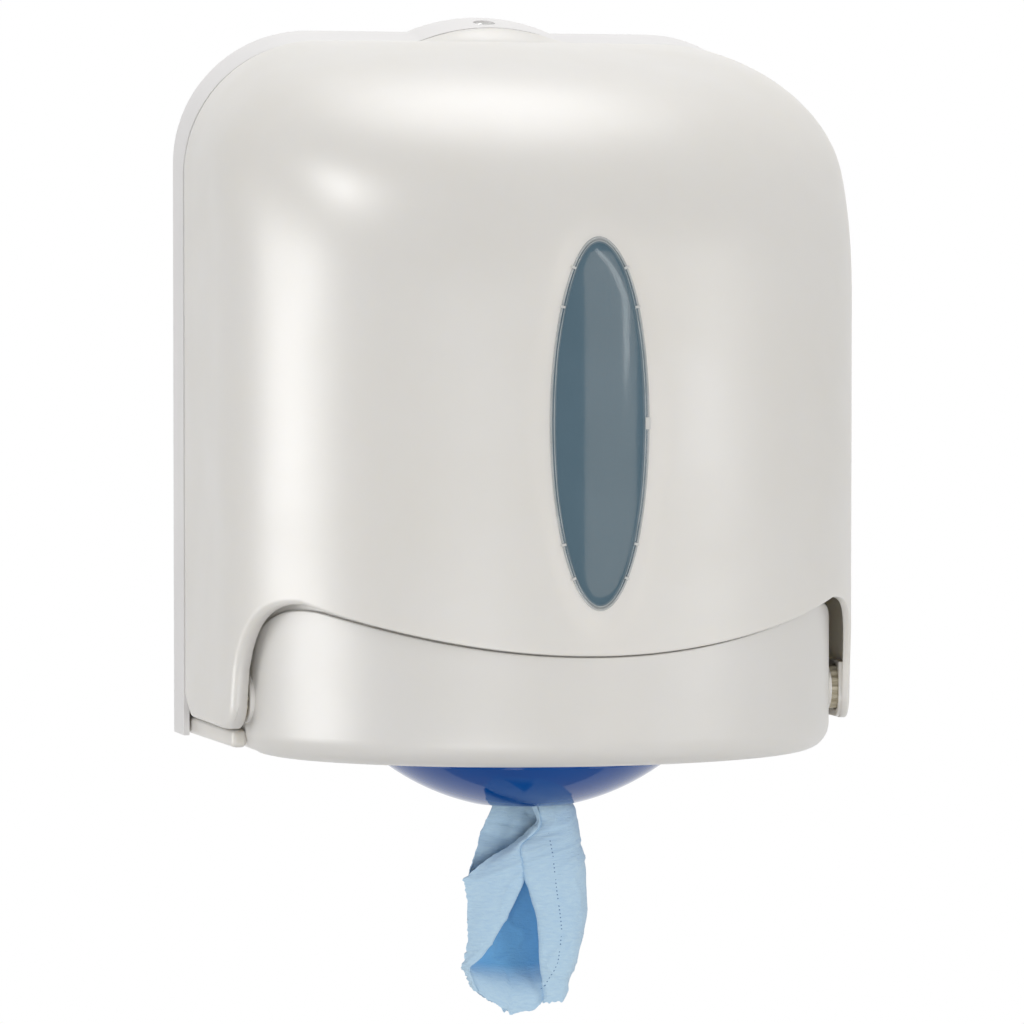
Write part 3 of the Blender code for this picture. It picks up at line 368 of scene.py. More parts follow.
carve(back_plate, work, upright(0, LOCK_DEPTH, 0.334, 0.36, LOCK_BORE, 48))
settle(soften(back_plate, 0.0005, 55))
for face in back_plate.data.polygons:
    if abs(face.normal.y) > 0.9999:
        face.use_smooth = False


# Tray. A white basin with a rounded foot carries the roll, and a raised panel is moulded round
# its front up to the seam with the cover. Its floor has the bayonet hole for the dome, a ring
# that the roll stands on, and bosses for the screws. The panel's edge rolls in at the cover.

CASE_WHITE = moulding(
    "case_white", (0.800, 0.775, 0.735), (0.775, 0.748, 0.700), 0.34, spread=0.07,
    Specular_IOR_Level=0.65, Subsurface_Weight=0.30, Subsurface_Radius=(1.0, 0.9, 0.7),
    Subsurface_Scale=0.006,
)
SIDE_DEPTH = 0.110
SEAM_LOW, SEAM_SIDE = 0.048, 0.0793
SWEEP_END = 0.176
COVER_SWEEP = ((0, 0), (0.153, 0.534), (0.467, 1.02), (1, 1))
PANEL_SWEEP = ((0, 0), (0.03, 0.25), (0.45, 1.25), (1, 1))
TRAY_REAR, TRAY_WALL, TRAY_STEP, TRAY_FALL, TRAY_HEIGHT = 0.003, 0.0025, 0.0002, 0.0025, 0.076
NOZZLE_DEPTH, DOME_NECK = 0.090, 0.064
HINGE_DEPTH, HINGE_HEIGHT = 0.118, 0.0245


def seam_height(depth, half, reach):
    """The seam dips towards the front: the same seen from the front on every skin."""
    share = max(depth - SIDE_DEPTH, 0) / (reach - SIDE_DEPTH)
    across = half * sqrt(max(1 - share**2, 0))
    return SEAM_LOW + (SEAM_SIDE - SEAM_LOW) * (across / HALF_WIDTH) ** 2


def seam_line(half, reach, steps, gap=0.0):
    """The seam from the end of its sweep round to the middle, as (depth, height) points."""
    start = asin((SWEEP_END - SIDE_DEPTH) / (reach - SIDE_DEPTH))
    turns = [start + (pi / 2 - start) * k / steps for k in range(1, steps + 1)]
    depths = [SIDE_DEPTH + (reach - SIDE_DEPTH) * sin(turn) for turn in turns]
    return [(depth, seam_height(depth, half, reach) - gap) for depth in depths]


def sweep(start, end, shares, steps):
    """A curve between two (depth, height) points, its handles given as shares."""
    handles = np.array(start) + (np.array(end) - np.array(start)) * np.array(shares)
    t = np.linspace(0, 1, steps + 1)[:, None]
    line = (1 - t) ** 3 * handles[0] + 3 * t * (1 - t) ** 2 * handles[1]
    return [tuple(p) for p in line + 3 * t**2 * (1 - t) * handles[2] + t**3 * handles[3]]


def plan_ring(half, reach, rear, corner, sides=10, front=72, back=12):
    """A closed section seen from above, with rounded rear corners, as (x, depth) points."""
    left = []
    for k in range(6):
        turn = pi / 2 * k / 5
        left.append((-half + corner * (1 - sin(turn)), rear + corner * (1 - cos(turn))))
    for k in range(1, sides + 1):
        left.append((-half, rear + corner + (SIDE_DEPTH - rear - corner) * k / sides))
    nose = []
    for k in range(1, front):
        turn = pi * k / front
        nose.append((-half * cos(turn), SIDE_DEPTH + (reach - SIDE_DEPTH) * sin(turn)))
    right = [(-x, depth) for x, depth in reversed(left)]
    end = [(half - corner - (half - corner) * 2 * k / back, rear) for k in range(1, back)]
    return left + nose + right + end


rim = plan_ring(BODY_HALF, BODY_DEPTH, TRAY_REAR, 0.003)
basin_rows = [(0, share) for share in (0, 0.25, 0.5, 0.75)]
ROUNDING = 0.010
for k in range(10):
    turn = pi / 2 * k / 9
    basin_rows.append((ROUNDING * (1 - sin(pi / 2 - turn)), 1 + ROUNDING * (1 - cos(pi / 2 - turn))))
basin_rings = []
for inset, share in basin_rows:
    ring = plan_ring(BODY_HALF - inset, BODY_DEPTH - inset, TRAY_REAR + inset * 0.15, 0.003)
    points = []
    for (x, depth), (_, rim_depth) in zip(ring, rim):
        top = min(seam_height(rim_depth, BODY_HALF, BODY_DEPTH) + 0.006, TRAY_HEIGHT)
        foot = TRAY_STEP - TRAY_FALL + ROUNDING
        height = top + (foot - top) * share if share < 1 else TRAY_STEP - TRAY_FALL + share - 1
        points.append(Vector((x, -depth, up(height))))
    basin_rings.append(points)
outer = basin_rings[-1]


def floor_circle(radius, height):
    """A circle round the dome's middle, its corners in line with those of the tray's foot."""
    middle = Vector((0, -NOZZLE_DEPTH, up(height)))
    return [middle + Vector((p.x, p.y + NOZZLE_DEPTH, 0)).normalized() * radius for p in outer]


recess = floor_circle(0.0712, TRAY_STEP - TRAY_FALL)
for share in (0.3, 0.6, 0.85, 0.97, 1.0):
    basin_rings.append([p.lerp(q, share) for p, q in zip(outer, recess)])
basin_rings += [floor_circle(0.0709, TRAY_STEP), floor_circle(0.0695, TRAY_STEP)]
basin_rings += [floor_circle(DOME_NECK + 0.0012, TRAY_STEP), floor_circle(DOME_NECK + 0.001, TRAY_STEP)]


def close_up(work):
    """Merges the seams and the poles of a skin and turns its faces outwards."""
    bmesh.ops.remove_doubles(work, verts=work.verts, dist=MERGE)
    bmesh.ops.dissolve_degenerate(work, edges=work.edges, dist=0.000002)
    bmesh.ops.recalc_face_normals(work, faces=work.faces)
    return work


work = close_up(draw_skin(
    len(rim), len(basin_rings) - 1, lambda i, j: basin_rings[j][i % len(rim)]
))
if max(work.faces, key=lambda face: face.calc_center_median().y).normal.y < 0:
    bmesh.ops.reverse_faces(work, faces=work.faces)
basin = add_piece("tray_basin", work, CASE_WHITE, "base", "case_white", "tray")
wall_it(basin, TRAY_WALL)


def three_lugs(height, first, low, high, round_off=0.0, work=None):
    """Blocks for the dome's bayonet: three round its axis, the first one at an angle."""
    axis = Matrix.Translation((0, -NOZZLE_DEPTH, up(height)))
    for k in range(3):
        turn = axis @ Matrix.Rotation(radians(first + 120 * k), 4, "Z")
        work = block(low, high, round_off, 2, turn, work)
    return work


carve(basin, three_lugs(-0.01, 120, (0.05, -0.007, 0), (DOME_NECK + 0.0042, 0.007, 0.02)))

PANEL_HALF, PANEL_DEPTH, PANEL_REAR, PANEL_FOOT, PANEL_ROUNDING = 0.139, 0.227, 0.115, 0.035, 0.012
PANEL_WALL = 0.0018
NEAR_EDGE = (0, 0.0002, 0.0005, 0.0009, 0.0014, 0.0020, 0.0027, 0.0036, 0.0048)
top_line = sweep(
    (PANEL_REAR, PANEL_FOOT), (SWEEP_END, seam_height(SWEEP_END, PANEL_HALF, PANEL_DEPTH) - SEAM_GAP),
    PANEL_SWEEP, 34,
)
top_line += seam_line(PANEL_HALF, PANEL_DEPTH, 48, SEAM_GAP)
near = NEAR_EDGE[:-1]
panel_rows = [("near", step) for step in near] + [("down", k / 9) for k in range(1, 10)]
panel_rows += [("foot", pi / 2 * k / 10) for k in range(1, 11)] + [("under", k / 6) for k in range(1, 7)]


def panel_place(i, j):
    """Column i of the panel's left half starts on its top line; row j goes down and under."""
    depth, top = top_line[i]
    start = asin((PANEL_REAR - SIDE_DEPTH) / (PANEL_DEPTH - SIDE_DEPTH))
    turn = asin(min((depth - SIDE_DEPTH) / (PANEL_DEPTH - SIDE_DEPTH), 1))
    kind, step = panel_rows[j]
    inset, height = 0.0, top
    if kind == "near":
        height = top - step
    elif kind == "down":
        height = top - near[-1] + (PANEL_ROUNDING - TRAY_FALL - top + near[-1]) * step
    elif kind == "foot":
        inset, height = PANEL_ROUNDING * (1 - cos(step)), PANEL_ROUNDING * (1 - sin(step)) - TRAY_FALL
    else:
        inset, height = PANEL_ROUNDING + 0.018 * step, 0.0006 * step**4 - TRAY_FALL
    share = (turn - start) / (pi / 2 - start)
    start = asin((PANEL_REAR - SIDE_DEPTH) / (PANEL_DEPTH - inset - SIDE_DEPTH))
    turn = start + (pi / 2 - start) * share
    x = -(PANEL_HALF - inset) * cos(turn)
    depth = SIDE_DEPTH + (PANEL_DEPTH - inset - SIDE_DEPTH) * sin(turn)
    return (x if i < len(top_line) - 1 else 0, -depth, up(height))


def roll_edges(made, facing, line, widths, drops, bend=False):
    """Rounds a wall inwards along a line: full drop on the line, none a width away from it. A
    bend takes the inner face of the wall with it."""
    data = made.data
    points = np.array([tuple(facing.find_nearest(v.co)[0] if bend else v.co) for v in data.vertices])
    a, b = np.array(line[:-1], dtype=float), np.array(line[1:], dtype=float)
    run = b - a
    share = np.einsum("nmk,mk->nm", points[:, None] - a[None], run) / np.maximum((run**2).sum(1), 1e-12)
    share = np.clip(share, 0, 1)
    away = np.linalg.norm(points[:, None] - (a[None] + run[None] * share[..., None]), axis=2)
    w, d = np.array(widths), np.array(drops)
    width = w[:-1] + (w[1:] - w[:-1]) * share
    drop = d[:-1] + (d[1:] - d[:-1]) * share
    part = np.clip(1 - away / width, 0, 1)
    inwards = (drop * (1 - np.sqrt(1 - part**2))).max(axis=1)
    for v, step in zip(data.vertices, inwards):
        if step > 0:
            v.co -= facing.find_nearest(v.co)[1] * float(step)


def face_front(work):
    """Turns a skin's faces outwards, by the face that lies furthest to the front."""
    if min(work.faces, key=lambda face: face.calc_center_median().y).normal.y > 0:
        bmesh.ops.reverse_faces(work, faces=work.faces)
    return work


def whole(work):
    """Adds the right half of a skin drawn on the left of the middle, faces outwards."""
    for v in work.verts:
        if abs(v.co.x) < 1e-5:
            v.co.x = 0
    bmesh.ops.mirror(work, geom=work.verts[:] + work.edges[:] + work.faces[:], axis="X", merge_dist=MERGE)
    bmesh.ops.recalc_face_normals(work, faces=work.faces)
    return face_front(work)


def both_halves(line):
    """A line on the left half that ends in the middle, and then its mirror image back."""
    return line + [type(line[0])((-x, y, z)) for x, y, z in reversed(line[:-1])]


work = face_front(close_up(draw_skin(len(top_line) - 1, len(panel_rows) - 1, panel_place)))
edge_line = [panel_place(0, j) for j in reversed(range(len(panel_rows)))]
edge_line = both_halves(edge_line + [panel_place(i, 0) for i in range(len(top_line))])
front_share = [min(max((p[1] + PANEL_REAR) / (PANEL_REAR - SWEEP_END), 0), 1) for p in edge_line]
facing = BVHTree.FromBMesh(whole(work))
panel = add_piece("tray_panel", work, CASE_WHITE, "base", "case_white", "tray")
settle(wall_it(panel, PANEL_WALL))
roll_edges(
    panel, facing, edge_line, [PANEL_WALL - 0.0008 * s for s in front_share],
    [0.0006 - 0.0001 * s for s in front_share],
)
settle(panel)

work = None
for side in (-1, 1):
    ends = sorted((side * (BODY_HALF - 0.0005), side * (HALF_WIDTH - WALL - 0.0004)))
    work = block((ends[0], -0.109, up(0.0004)), (ends[1], -TRAY_REAR, up(0.0088)), 0.0024, 4, work=work)
for v in work.verts:
    if v.co.y < -0.1 and abs(v.co.x) > 0.142:
        v.co.x *= 0.978
settle(add_piece("tray_sills", work, CASE_WHITE, "base", "case_white", "tray"))


def turn_profile(profile, centre, steps):
    """A closed outline of (radius, height) points turned round an upright axis."""
    work = bmesh.new()
    ring = [work.verts.new((radius, -centre, up(height))) for radius, height in profile]
    pairs = zip(ring, ring[1:] + ([ring[0]] if profile[0][0] > 0 else []))
    edges = [work.edges.new(pair) for pair in pairs]
    bmesh.ops.spin(
        work, geom=ring + edges, cent=(0, -centre, 0), axis=(0, 0, 1), angle=2 * pi, steps=steps,
        use_merge=True,
    )
    return close_up(work)


work = turn_profile([
    (0.0750, -0.0005), (0.0750, 0.0058), (0.0746, 0.0062), (0.0729, 0.0062), (0.0725, 0.0058),
    (0.0725, -0.0005),
], NOZZLE_DEPTH, 120)
settle(add_piece("tray_roll_seat", work, CASE_WHITE, "base", "case_white", "tray"))


def hinge_rods(inner, outer, radius, steps=64, sides=(-1, 1)):
    """Rods on the axis of the cover's hinge, on both sides or on one."""
    work = None
    for side in sides:
        ends = [(side * x, -HINGE_DEPTH, up(HINGE_HEIGHT)) for x in (inner, outer)]
        work = rod(*ends, radius, steps, work=work)
    return work


work = hinge_rods(0.1318, 0.1393, 0.012)
ease_edges(work, 0.0005, 3)
bosses = add_piece("tray_hub_bosses", work, CASE_WHITE, "base", "case_white", "tray")
carve(bosses, hinge_rods(0.13, 0.141, SCREW_BORE, 24))
work = rods(tray_screws, -0.0045, -0.0155, 0.0045, 40)
ease_edges(work, 0.0004, 2)
bosses = add_piece("tray_screw_bosses", work, CASE_WHITE, "base", "case_white", "tray")
carve(bosses, rods(tray_screws, 0.001, -0.0115, SCREW_BORE))
carve(basin, rods(tray_screws, 0.001, -0.0090, SCREW_BORE))


# Hubs. Ribbed wheels in cream plastic, screwed to the sides of the tray from inside: the
# cover's legs snap over them and swing on them, and their ribs show past the tray's edge.

HUB_CREAM = moulding(
    "hub_cream", (0.74, 0.69, 0.55), (0.60, 0.54, 0.40), 0.40, spread=0.10, tone=160.0, relief=0.12
)
HUB_INNER, HUB_OUTER = 0.1396, 0.1464
HUB_ROOT, HUB_CREST, HUB_RIBS = 0.0086, 0.0100, 14
for side, word in ((-1, "left"), (1, "right")):
    work = bmesh.new()
    bmesh.ops.create_circle(work, cap_ends=True, segments=112, radius=1)
    bmesh.ops.remove_doubles(work, verts=work.verts, dist=0.0001)
    for corner in work.verts:
        turn = atan2(corner.co.y, corner.co.x) / (2 * pi) * HUB_RIBS % 1
        rise = min(max((0.30 - abs(turn - 0.5)) / 0.07, 0), 1)
        corner.co = corner.co.normalized() * (HUB_ROOT + (HUB_CREST - HUB_ROOT) * rise)
    moved = bmesh.ops.extrude_face_region(work, geom=work.faces[:])["geom"]
    away = [item for item in moved if isinstance(item, bmesh.types.BMVert)]
    bmesh.ops.translate(work, vec=(0, 0, HUB_OUTER - HUB_INNER), verts=away)
    bmesh.ops.recalc_face_normals(work, faces=work.faces)
    ease_edges(work, 0.0003, 2, [
        edge for edge in work.edges
        if edge.calc_face_angle(0) > 0.9 and abs(edge.verts[0].co.z - edge.verts[1].co.z) < 1e-6
    ])
    turn = Matrix.Rotation(radians(90 * side), 4, "Y")
    place = Matrix.Translation((side * HUB_INNER, -HINGE_DEPTH, up(HINGE_HEIGHT)))
    bmesh.ops.transform(work, matrix=place @ turn, verts=work.verts)
    hub = add_piece(f"hub_{word}", work, HUB_CREAM, "base", "hub_cream", f"hinge_hub_{word}")
    carve(hub, hinge_rods(0.138, 0.1449, SCREW_BORE, 24, (side,)))


# Cover. One large white moulding, open at the back and cut away round the tray. Its front is
# half an ellipse seen from above, its crown rolls back to the arch of the back plate, and its
# two legs reach down to the hubs. The edge of the opening is rolled inwards, and a shallow
# dish is pressed in round the window.

COVER_REAR = PLATE_DEPTH + SEAM_GAP * 1.6
SHOULDER_HEIGHT, CROWN_POWER, SIDE_POWER = 0.205, 2.4, 2.3
CROWN_RISE = (CASE_TOP - SHOULDER_HEIGHT) / (
    1 - (COVER_REAR / CASE_DEPTH) ** CROWN_POWER
) ** (1 / CROWN_POWER)
LEG_BOTTOM, LEG_CORNER, LEG_FRONT, LEG_LEAN, LEG_HEIGHT = 0.010, 0.013, 0.1317, 0.003, 0.038
WINDOW_WIDTH, WINDOW_HEIGHT, WINDOW_CENTRE = 0.0456, 0.1666, 0.1518
DISH_RUN, DISH_DROP = 0.015, 0.0012
HUB_HOLE, HUB_HOLE_START = 0.0103, 0.12


def crown_reach(height):
    share = min(max(height - SHOULDER_HEIGHT, 0) / CROWN_RISE, 1)
    return CASE_DEPTH * (1 - share**CROWN_POWER) ** (1 / CROWN_POWER)


def crown_height(reach):
    return SHOULDER_HEIGHT + CROWN_RISE * (1 - (reach / CASE_DEPTH) ** CROWN_POWER) ** (1 / CROWN_POWER)


def case_half(height):
    share = min(max((height - CASE_TOP + CORNER_HEIGHT) / CORNER_HEIGHT, 0), 1)
    return HALF_WIDTH - CORNER_WIDTH * (1 - sqrt(1 - share**2))


def case_straight(reach):
    share = (reach - COVER_REAR) / (CASE_DEPTH - COVER_REAR)
    return COVER_REAR + (SIDE_DEPTH - COVER_REAR) * share**SIDE_POWER


def case_place(column, height, reach=None):
    """A point of the case. Columns 0 to 1 run along the side, 1 to 2 round to the middle."""
    reach = max(crown_reach(height) if reach is None else reach, COVER_REAR)
    straight, half = case_straight(reach), case_half(height)
    if column <= 1:
        x, depth = -half, COVER_REAR + (straight - COVER_REAR) * column
    else:
        turn = pi / 2 * (column - 1)
        x, depth = -half * cos(turn), straight + (reach - straight) * sin(turn)
    x = 0.0 if column > 1.9999 else x
    rise = 0.0
    if height > SHOULDER_HEIGHT and depth < COVER_REAR + HUMP_RUN:
        fade = 1 - (depth - COVER_REAR) / HUMP_RUN
        rise = hump_rise(x) * (fade * 0.6 + fade**2 * (3 - 2 * fade) * 0.4)
    return Vector((x, -depth, up(height + rise)))


CORNER_BACK = LEG_FRONT - LEG_CORNER
cover_line = [
    (COVER_REAR + run, LEG_BOTTOM + rise)
    for run, rise in ((0, 0.0085), (0.005, 0.00567), (0.010, 0.00283), (0.0144, 0.0004))
]
flat_start = COVER_REAR + 0.0156
cover_line += [(flat_start + (CORNER_BACK - flat_start) * k / 14, LEG_BOTTOM) for k in range(14)]
for k in range(15):
    turn = pi / 2 * k / 14
    cover_line.append((
        LEG_FRONT - LEG_CORNER * (1 - sin(turn)), LEG_BOTTOM + LEG_CORNER * (1 - cos(turn))
    ))
corner_top = LEG_BOTTOM + LEG_CORNER
cover_line += [
    (LEG_FRONT + LEG_LEAN * k / 5, corner_top + (LEG_HEIGHT - LEG_BOTTOM - LEG_CORNER) * k / 5)
    for k in range(1, 5)
]
sweep_end = (SWEEP_END, seam_height(SWEEP_END, HALF_WIDTH, CASE_DEPTH))
cover_line += sweep((LEG_FRONT + LEG_LEAN, LEG_HEIGHT), sweep_end, COVER_SWEEP, 30)
cover_line += seam_line(HALF_WIDTH, CASE_DEPTH, 56)


def column_of(depth):
    if depth <= SIDE_DEPTH:
        return (depth - COVER_REAR) / (SIDE_DEPTH - COVER_REAR)
    return 1 + asin(min((depth - SIDE_DEPTH) / (CASE_DEPTH - SIDE_DEPTH), 1)) / (pi / 2)


cover_columns = [(column_of(depth), height) for depth, height in cover_line]
cover_rows = [("near", step) for step in NEAR_EDGE] + [("side", k / 34) for k in range(1, 35)]
CROWN_BREAK = 0.060
crown_turn = acos((CROWN_BREAK / CASE_DEPTH) ** (CROWN_POWER / 2))
cover_rows += [("crown", CASE_DEPTH * cos(crown_turn * k / 40) ** (2 / CROWN_POWER)) for k in range(1, 41)]
cover_rows += [("crown", CROWN_BREAK + (COVER_REAR - CROWN_BREAK) * k / 14) for k in range(1, 15)]


def cover_place(i, j):
    column, foot = cover_columns[i]
    kind, step = cover_rows[j]
    if kind == "near":
        return case_place(column, foot + step)
    if kind == "side":
        start = foot + NEAR_EDGE[-1]
        return case_place(column, start + (SHOULDER_HEIGHT - start) * step**1.35)
    return case_place(column, crown_height(step), step)


def dish(point):
    """How deep the dish round the window is pressed in at a point of the front."""
    if point[1] > -0.15:
        return 0.0
    across, rise = point[0], point[2] - up(WINDOW_CENTRE)
    away = hypot(across / (WINDOW_WIDTH / 2), rise / (WINDOW_HEIGHT / 2))
    if away <= 1:
        return DISH_DROP
    share = max(1 - hypot(across, rise) * (1 - 1 / away) / DISH_RUN, 0)
    return DISH_DROP * share**2 * (3 - 2 * share)


def sink(work, drop):
    """Moves a skin into the case along its normals; the drop is a depth or one for a corner."""
    work.normal_update()
    moves = [v.normal * -(drop(v.co) if callable(drop) else drop) for v in work.verts]
    for v, move in zip(work.verts, moves):
        v.co += move
    return work


work = face_front(close_up(draw_skin(len(cover_columns) - 1, len(cover_rows) - 1, cover_place)))
sink(work, dish)
opening = [cover_place(i, 0) for i in range(len(cover_columns))]
widths, drops = [], []
for point in opening:
    share = min(max((-point.y - LEG_FRONT) / (SWEEP_END + 0.02 - LEG_FRONT), 0), 1)
    leg = 1 if -point.y > CORNER_BACK else 0.45
    widths.append((0.0050 - 0.0040 * share) * leg)
    drops.append((0.0044 - 0.0038 * share) * leg)
opening = both_halves(opening)
widths += reversed(widths[:-1])
drops += [drop * 0.25 for drop in reversed(drops[:-1])]
rear_edge = [cover_place(0, j) for j in range(len(cover_rows))]
rear_edge = both_halves(rear_edge + [
    cover_place(i, len(cover_rows) - 1) for i in range(1, len(cover_columns))
])
facing = BVHTree.FromBMesh(whole(work))
cover = add_piece("cover_shell", work, CASE_WHITE, "cover", "case_white", "cover")
settle(wall_it(cover, WALL))
carve(cover, rod(
    (0, -CASE_DEPTH - 0.02, up(WINDOW_CENTRE)), (0, -CASE_DEPTH + 0.03, up(WINDOW_CENTRE)), 1, 160,
    (WINDOW_WIDTH / 2, WINDOW_HEIGHT / 2),
), hinge_rods(HUB_HOLE_START, 0.1467, HUB_HOLE))
roll_edges(cover, facing, opening, widths, drops, bend=True)
rolled = [p - facing.find_nearest(p)[1] * drop for p, drop in zip(opening, drops)]
for line in (rolled, rear_edge):
    roll_edges(cover, facing, line, [0.0009] * len(line), [0.0004] * len(line))
settle(cover)

PAD_REAR_DEPTH, PAD_TOP, PAD_GAP, PAD_WALL, PAD_SINK = 0.104, 0.037, 0.0006, 0.0033, 0.0022
for side, word in ((-1, "left"), (1, "right")):
    def pad_place(i, j):
        """The pad fills the foot of the leg, as far as its rounded front corner."""
        depth = PAD_REAR_DEPTH + (LEG_FRONT - PAD_GAP - PAD_REAR_DEPTH) * i / 30
        foot = LEG_BOTTOM + PAD_GAP + LEG_CORNER - sqrt(LEG_CORNER**2 - max(depth - CORNER_BACK, 0) ** 2)
        point = case_place(column_of(depth), foot + (PAD_TOP - foot) * j / 12)
        return Vector((point.x * -side, point.y, point.z))

    work = draw_skin(30, 12, pad_place)
    bmesh.ops.recalc_face_normals(work, faces=work.faces)
    if next(iter(work.faces)).normal.x * side < 0:
        bmesh.ops.reverse_faces(work, faces=work.faces)
    sink(work, PAD_SINK)
    pad = add_piece(f"cover_hinge_pad_{word}", work, CASE_WHITE, "cover", "case_white", "cover")
    soften(wall_it(pad, PAD_WALL), 0.0004, 60)
    for end, radius in ((0.1467, HUB_HOLE), (0.1457, 0.0110)):
        carve(pad, hinge_rods(HUB_HOLE_START, end, radius, sides=(side,)))


# Window. A smoked clear lens lies in the dish, flush with the cover. Two thin clear beads run
# round its edge, and a white ring inside the cover holds it with nine small clips.

LENS_SMOKE = moulding(
    "lens_smoke", (0.118, 0.212, 0.278), (0.100, 0.190, 0.252), 0.06, spread=0.01, tone=22.0, grain=900.0,
    relief=0.0, Alpha=0.60, IOR=1.49,
)
BEAD_CLEAR = moulding(
    "bead_clear", (0.66, 0.68, 0.68), (0.54, 0.57, 0.57), 0.08, spread=0.04, tone=60.0, relief=0.03,
    Alpha=0.55,
)
RETAINER_WHITE = moulding("retainer_white", (0.64, 0.64, 0.62), (0.58, 0.58, 0.57), 0.45)


def front_point(x, height):
    """The point of the cover's front so far across and so far up."""
    reach, half = crown_reach(height), case_half(height)
    straight = case_straight(reach)
    return Vector((x, -straight - (reach - straight) * sqrt(1 - (x / half) ** 2), up(height)))


def window_skin(margins, middle=False):
    """A skin on the front round the window: a row of corners for each margin past its edge. In
    the middle the margins are shares of the window."""
    sizes = [
        (WINDOW_WIDTH / 2 * m, WINDOW_HEIGHT / 2 * m) if middle
        else (WINDOW_WIDTH / 2 + m, WINDOW_HEIGHT / 2 + m) for m in margins
    ]

    def place(i, j):
        turn = 2 * pi * (i % 160) / 160
        return front_point(sizes[j][0] * cos(turn), WINDOW_CENTRE + sizes[j][1] * sin(turn))

    work = close_up(draw_skin(160, len(margins) - 1, place))
    if sum(face.normal.y for face in work.faces) > 0:
        bmesh.ops.reverse_faces(work, faces=work.faces)
    return work


def window_share(point):
    return hypot(point[0] / (WINDOW_WIDTH / 2), (point[2] - up(WINDOW_CENTRE)) / (WINDOW_HEIGHT / 2))


LENS_WALL, BEAD_WALL, RING_WALL = 0.0022, 0.0012, 0.0018
work = window_skin([0.0] + [0.06 + 0.92 * k / 26 for k in range(25)] + [0.965, 0.978, 0.985], middle=True)
sink(work, lambda p: DISH_DROP - 0.0002 + 0.0003 * max((window_share(p) - 0.95) / 0.035, 0) ** 2)
lens = add_piece("window_pane", work, LENS_SMOKE, "cover", "lens_smoke", "window_lens")
settle(wall_it(lens, LENS_WALL))


def window_bead(name, centre, half, proud):
    """A half-round clear bead that runs round the window, so far past its edge."""
    def lift(point):
        x, z = abs(point[0]), point[2] - up(WINDOW_CENTRE)
        turn = atan2(z / WINDOW_HEIGHT, x / WINDOW_WIDTH)
        out = hypot(x, z) - hypot(WINDOW_WIDTH / 2 * cos(turn), WINDOW_HEIGHT / 2 * sin(turn))
        for k in range(6):
            across, rise = (WINDOW_WIDTH / 2 + out) * cos(turn), (WINDOW_HEIGHT / 2 + out) * sin(turn)
            turn = atan2(z / (WINDOW_HEIGHT / 2 + out), x / (WINDOW_WIDTH / 2 + out))
            out += hypot(x, z) - hypot(across, rise)
        share = min(max((out - centre) / half, -1), 1)
        return BEAD_WALL - proud * sqrt(max(1 - share**2, 0))

    work = sink(window_skin([centre + half * cos(pi * k / 8) for k in range(9)]), lift)
    bead = add_piece(name, work, BEAD_CLEAR, "cover", "lens_smoke", "window_lens")
    settle(wall_it(bead, BEAD_WALL))


window_bead("window_bead", -0.0002, 0.0006, 0.0005)
window_bead("window_bead_inner", -0.0016, 0.0003, 0.0003)

work = sink(window_skin([-0.0012, -0.0010, -0.0004, 0.0, 0.002, 0.0040, 0.0050, 0.0052]), 0.0043)
retainer = add_piece("window_ring", work, RETAINER_WHITE, "cover", "retainer_white", "window_retainer")
settle(soften(wall_it(retainer, RING_WALL), 0.0003, 60))

SHORT_CLIP, LONG_CLIP, CLIP_HALF = 0.0011, 0.0054, 0.0011
work = None
for side in (-1, 1):
    clips = [(rise, SHORT_CLIP) for rise in (0.0695, 0.0520, -0.0540, -0.0692)]
    for rise, long in clips + [(0, LONG_CLIP)] * (side > 0):
        across = (WINDOW_WIDTH / 2 - 0.0007) * sqrt(1 - (rise / (WINDOW_HEIGHT / 2)) ** 2)
        lean = atan2(across / (WINDOW_WIDTH / 2) ** 2, rise / (WINDOW_HEIGHT / 2) ** 2) - pi / 2
        at = front_point(side * across, WINDOW_CENTRE + rise) + Vector((0, 0.0006, 0))
        turn = Matrix.Translation(at) @ Matrix.Rotation(side * lean, 4, "Y")
        low, high = (-CLIP_HALF, -0.0003, -long / 2), (CLIP_HALF, 0.0005, long / 2)
        work = block(low, high, 0.0002, 2, turn, work)
settle(add_piece("window_clips", work, RETAINER_WHITE, "cover", "retainer_white", "window_retainer"))


# Lock. A key barrel stands in a grey housing screwed behind the hump; its zinc cam hooks over
# a catch plate that two screws hold under the top of the cover.

LOCK_GREY = moulding("lock_grey", (0.30, 0.31, 0.33), (0.25, 0.26, 0.28), 0.36, relief=0.15)
BARREL_METAL = moulding(
    "barrel_metal", (0.58, 0.58, 0.57), (0.50, 0.50, 0.49), 0.22, tone=300.0, relief=0.05, Metallic=1.0
)
ZINC = moulding(
    "zinc", (0.62, 0.62, 0.59), (0.52, 0.53, 0.50), 0.28, tone=500.0, grain=2600.0, relief=0.12, Metallic=1.0
)

work = block((-0.015, -0.0205, up(0.3160)), (0.015, -0.0030, up(0.3336)), 0.0009)
housing = add_piece("lock_case", work, LOCK_GREY, "base", "lock_grey", "lock_housing")
work = upright(0, LOCK_DEPTH, 0.30, 0.35, LOCK_BORE, 64)
carve(housing, rods(housing_screws, 0.001, -0.0115, SCREW_BORE, work=work))

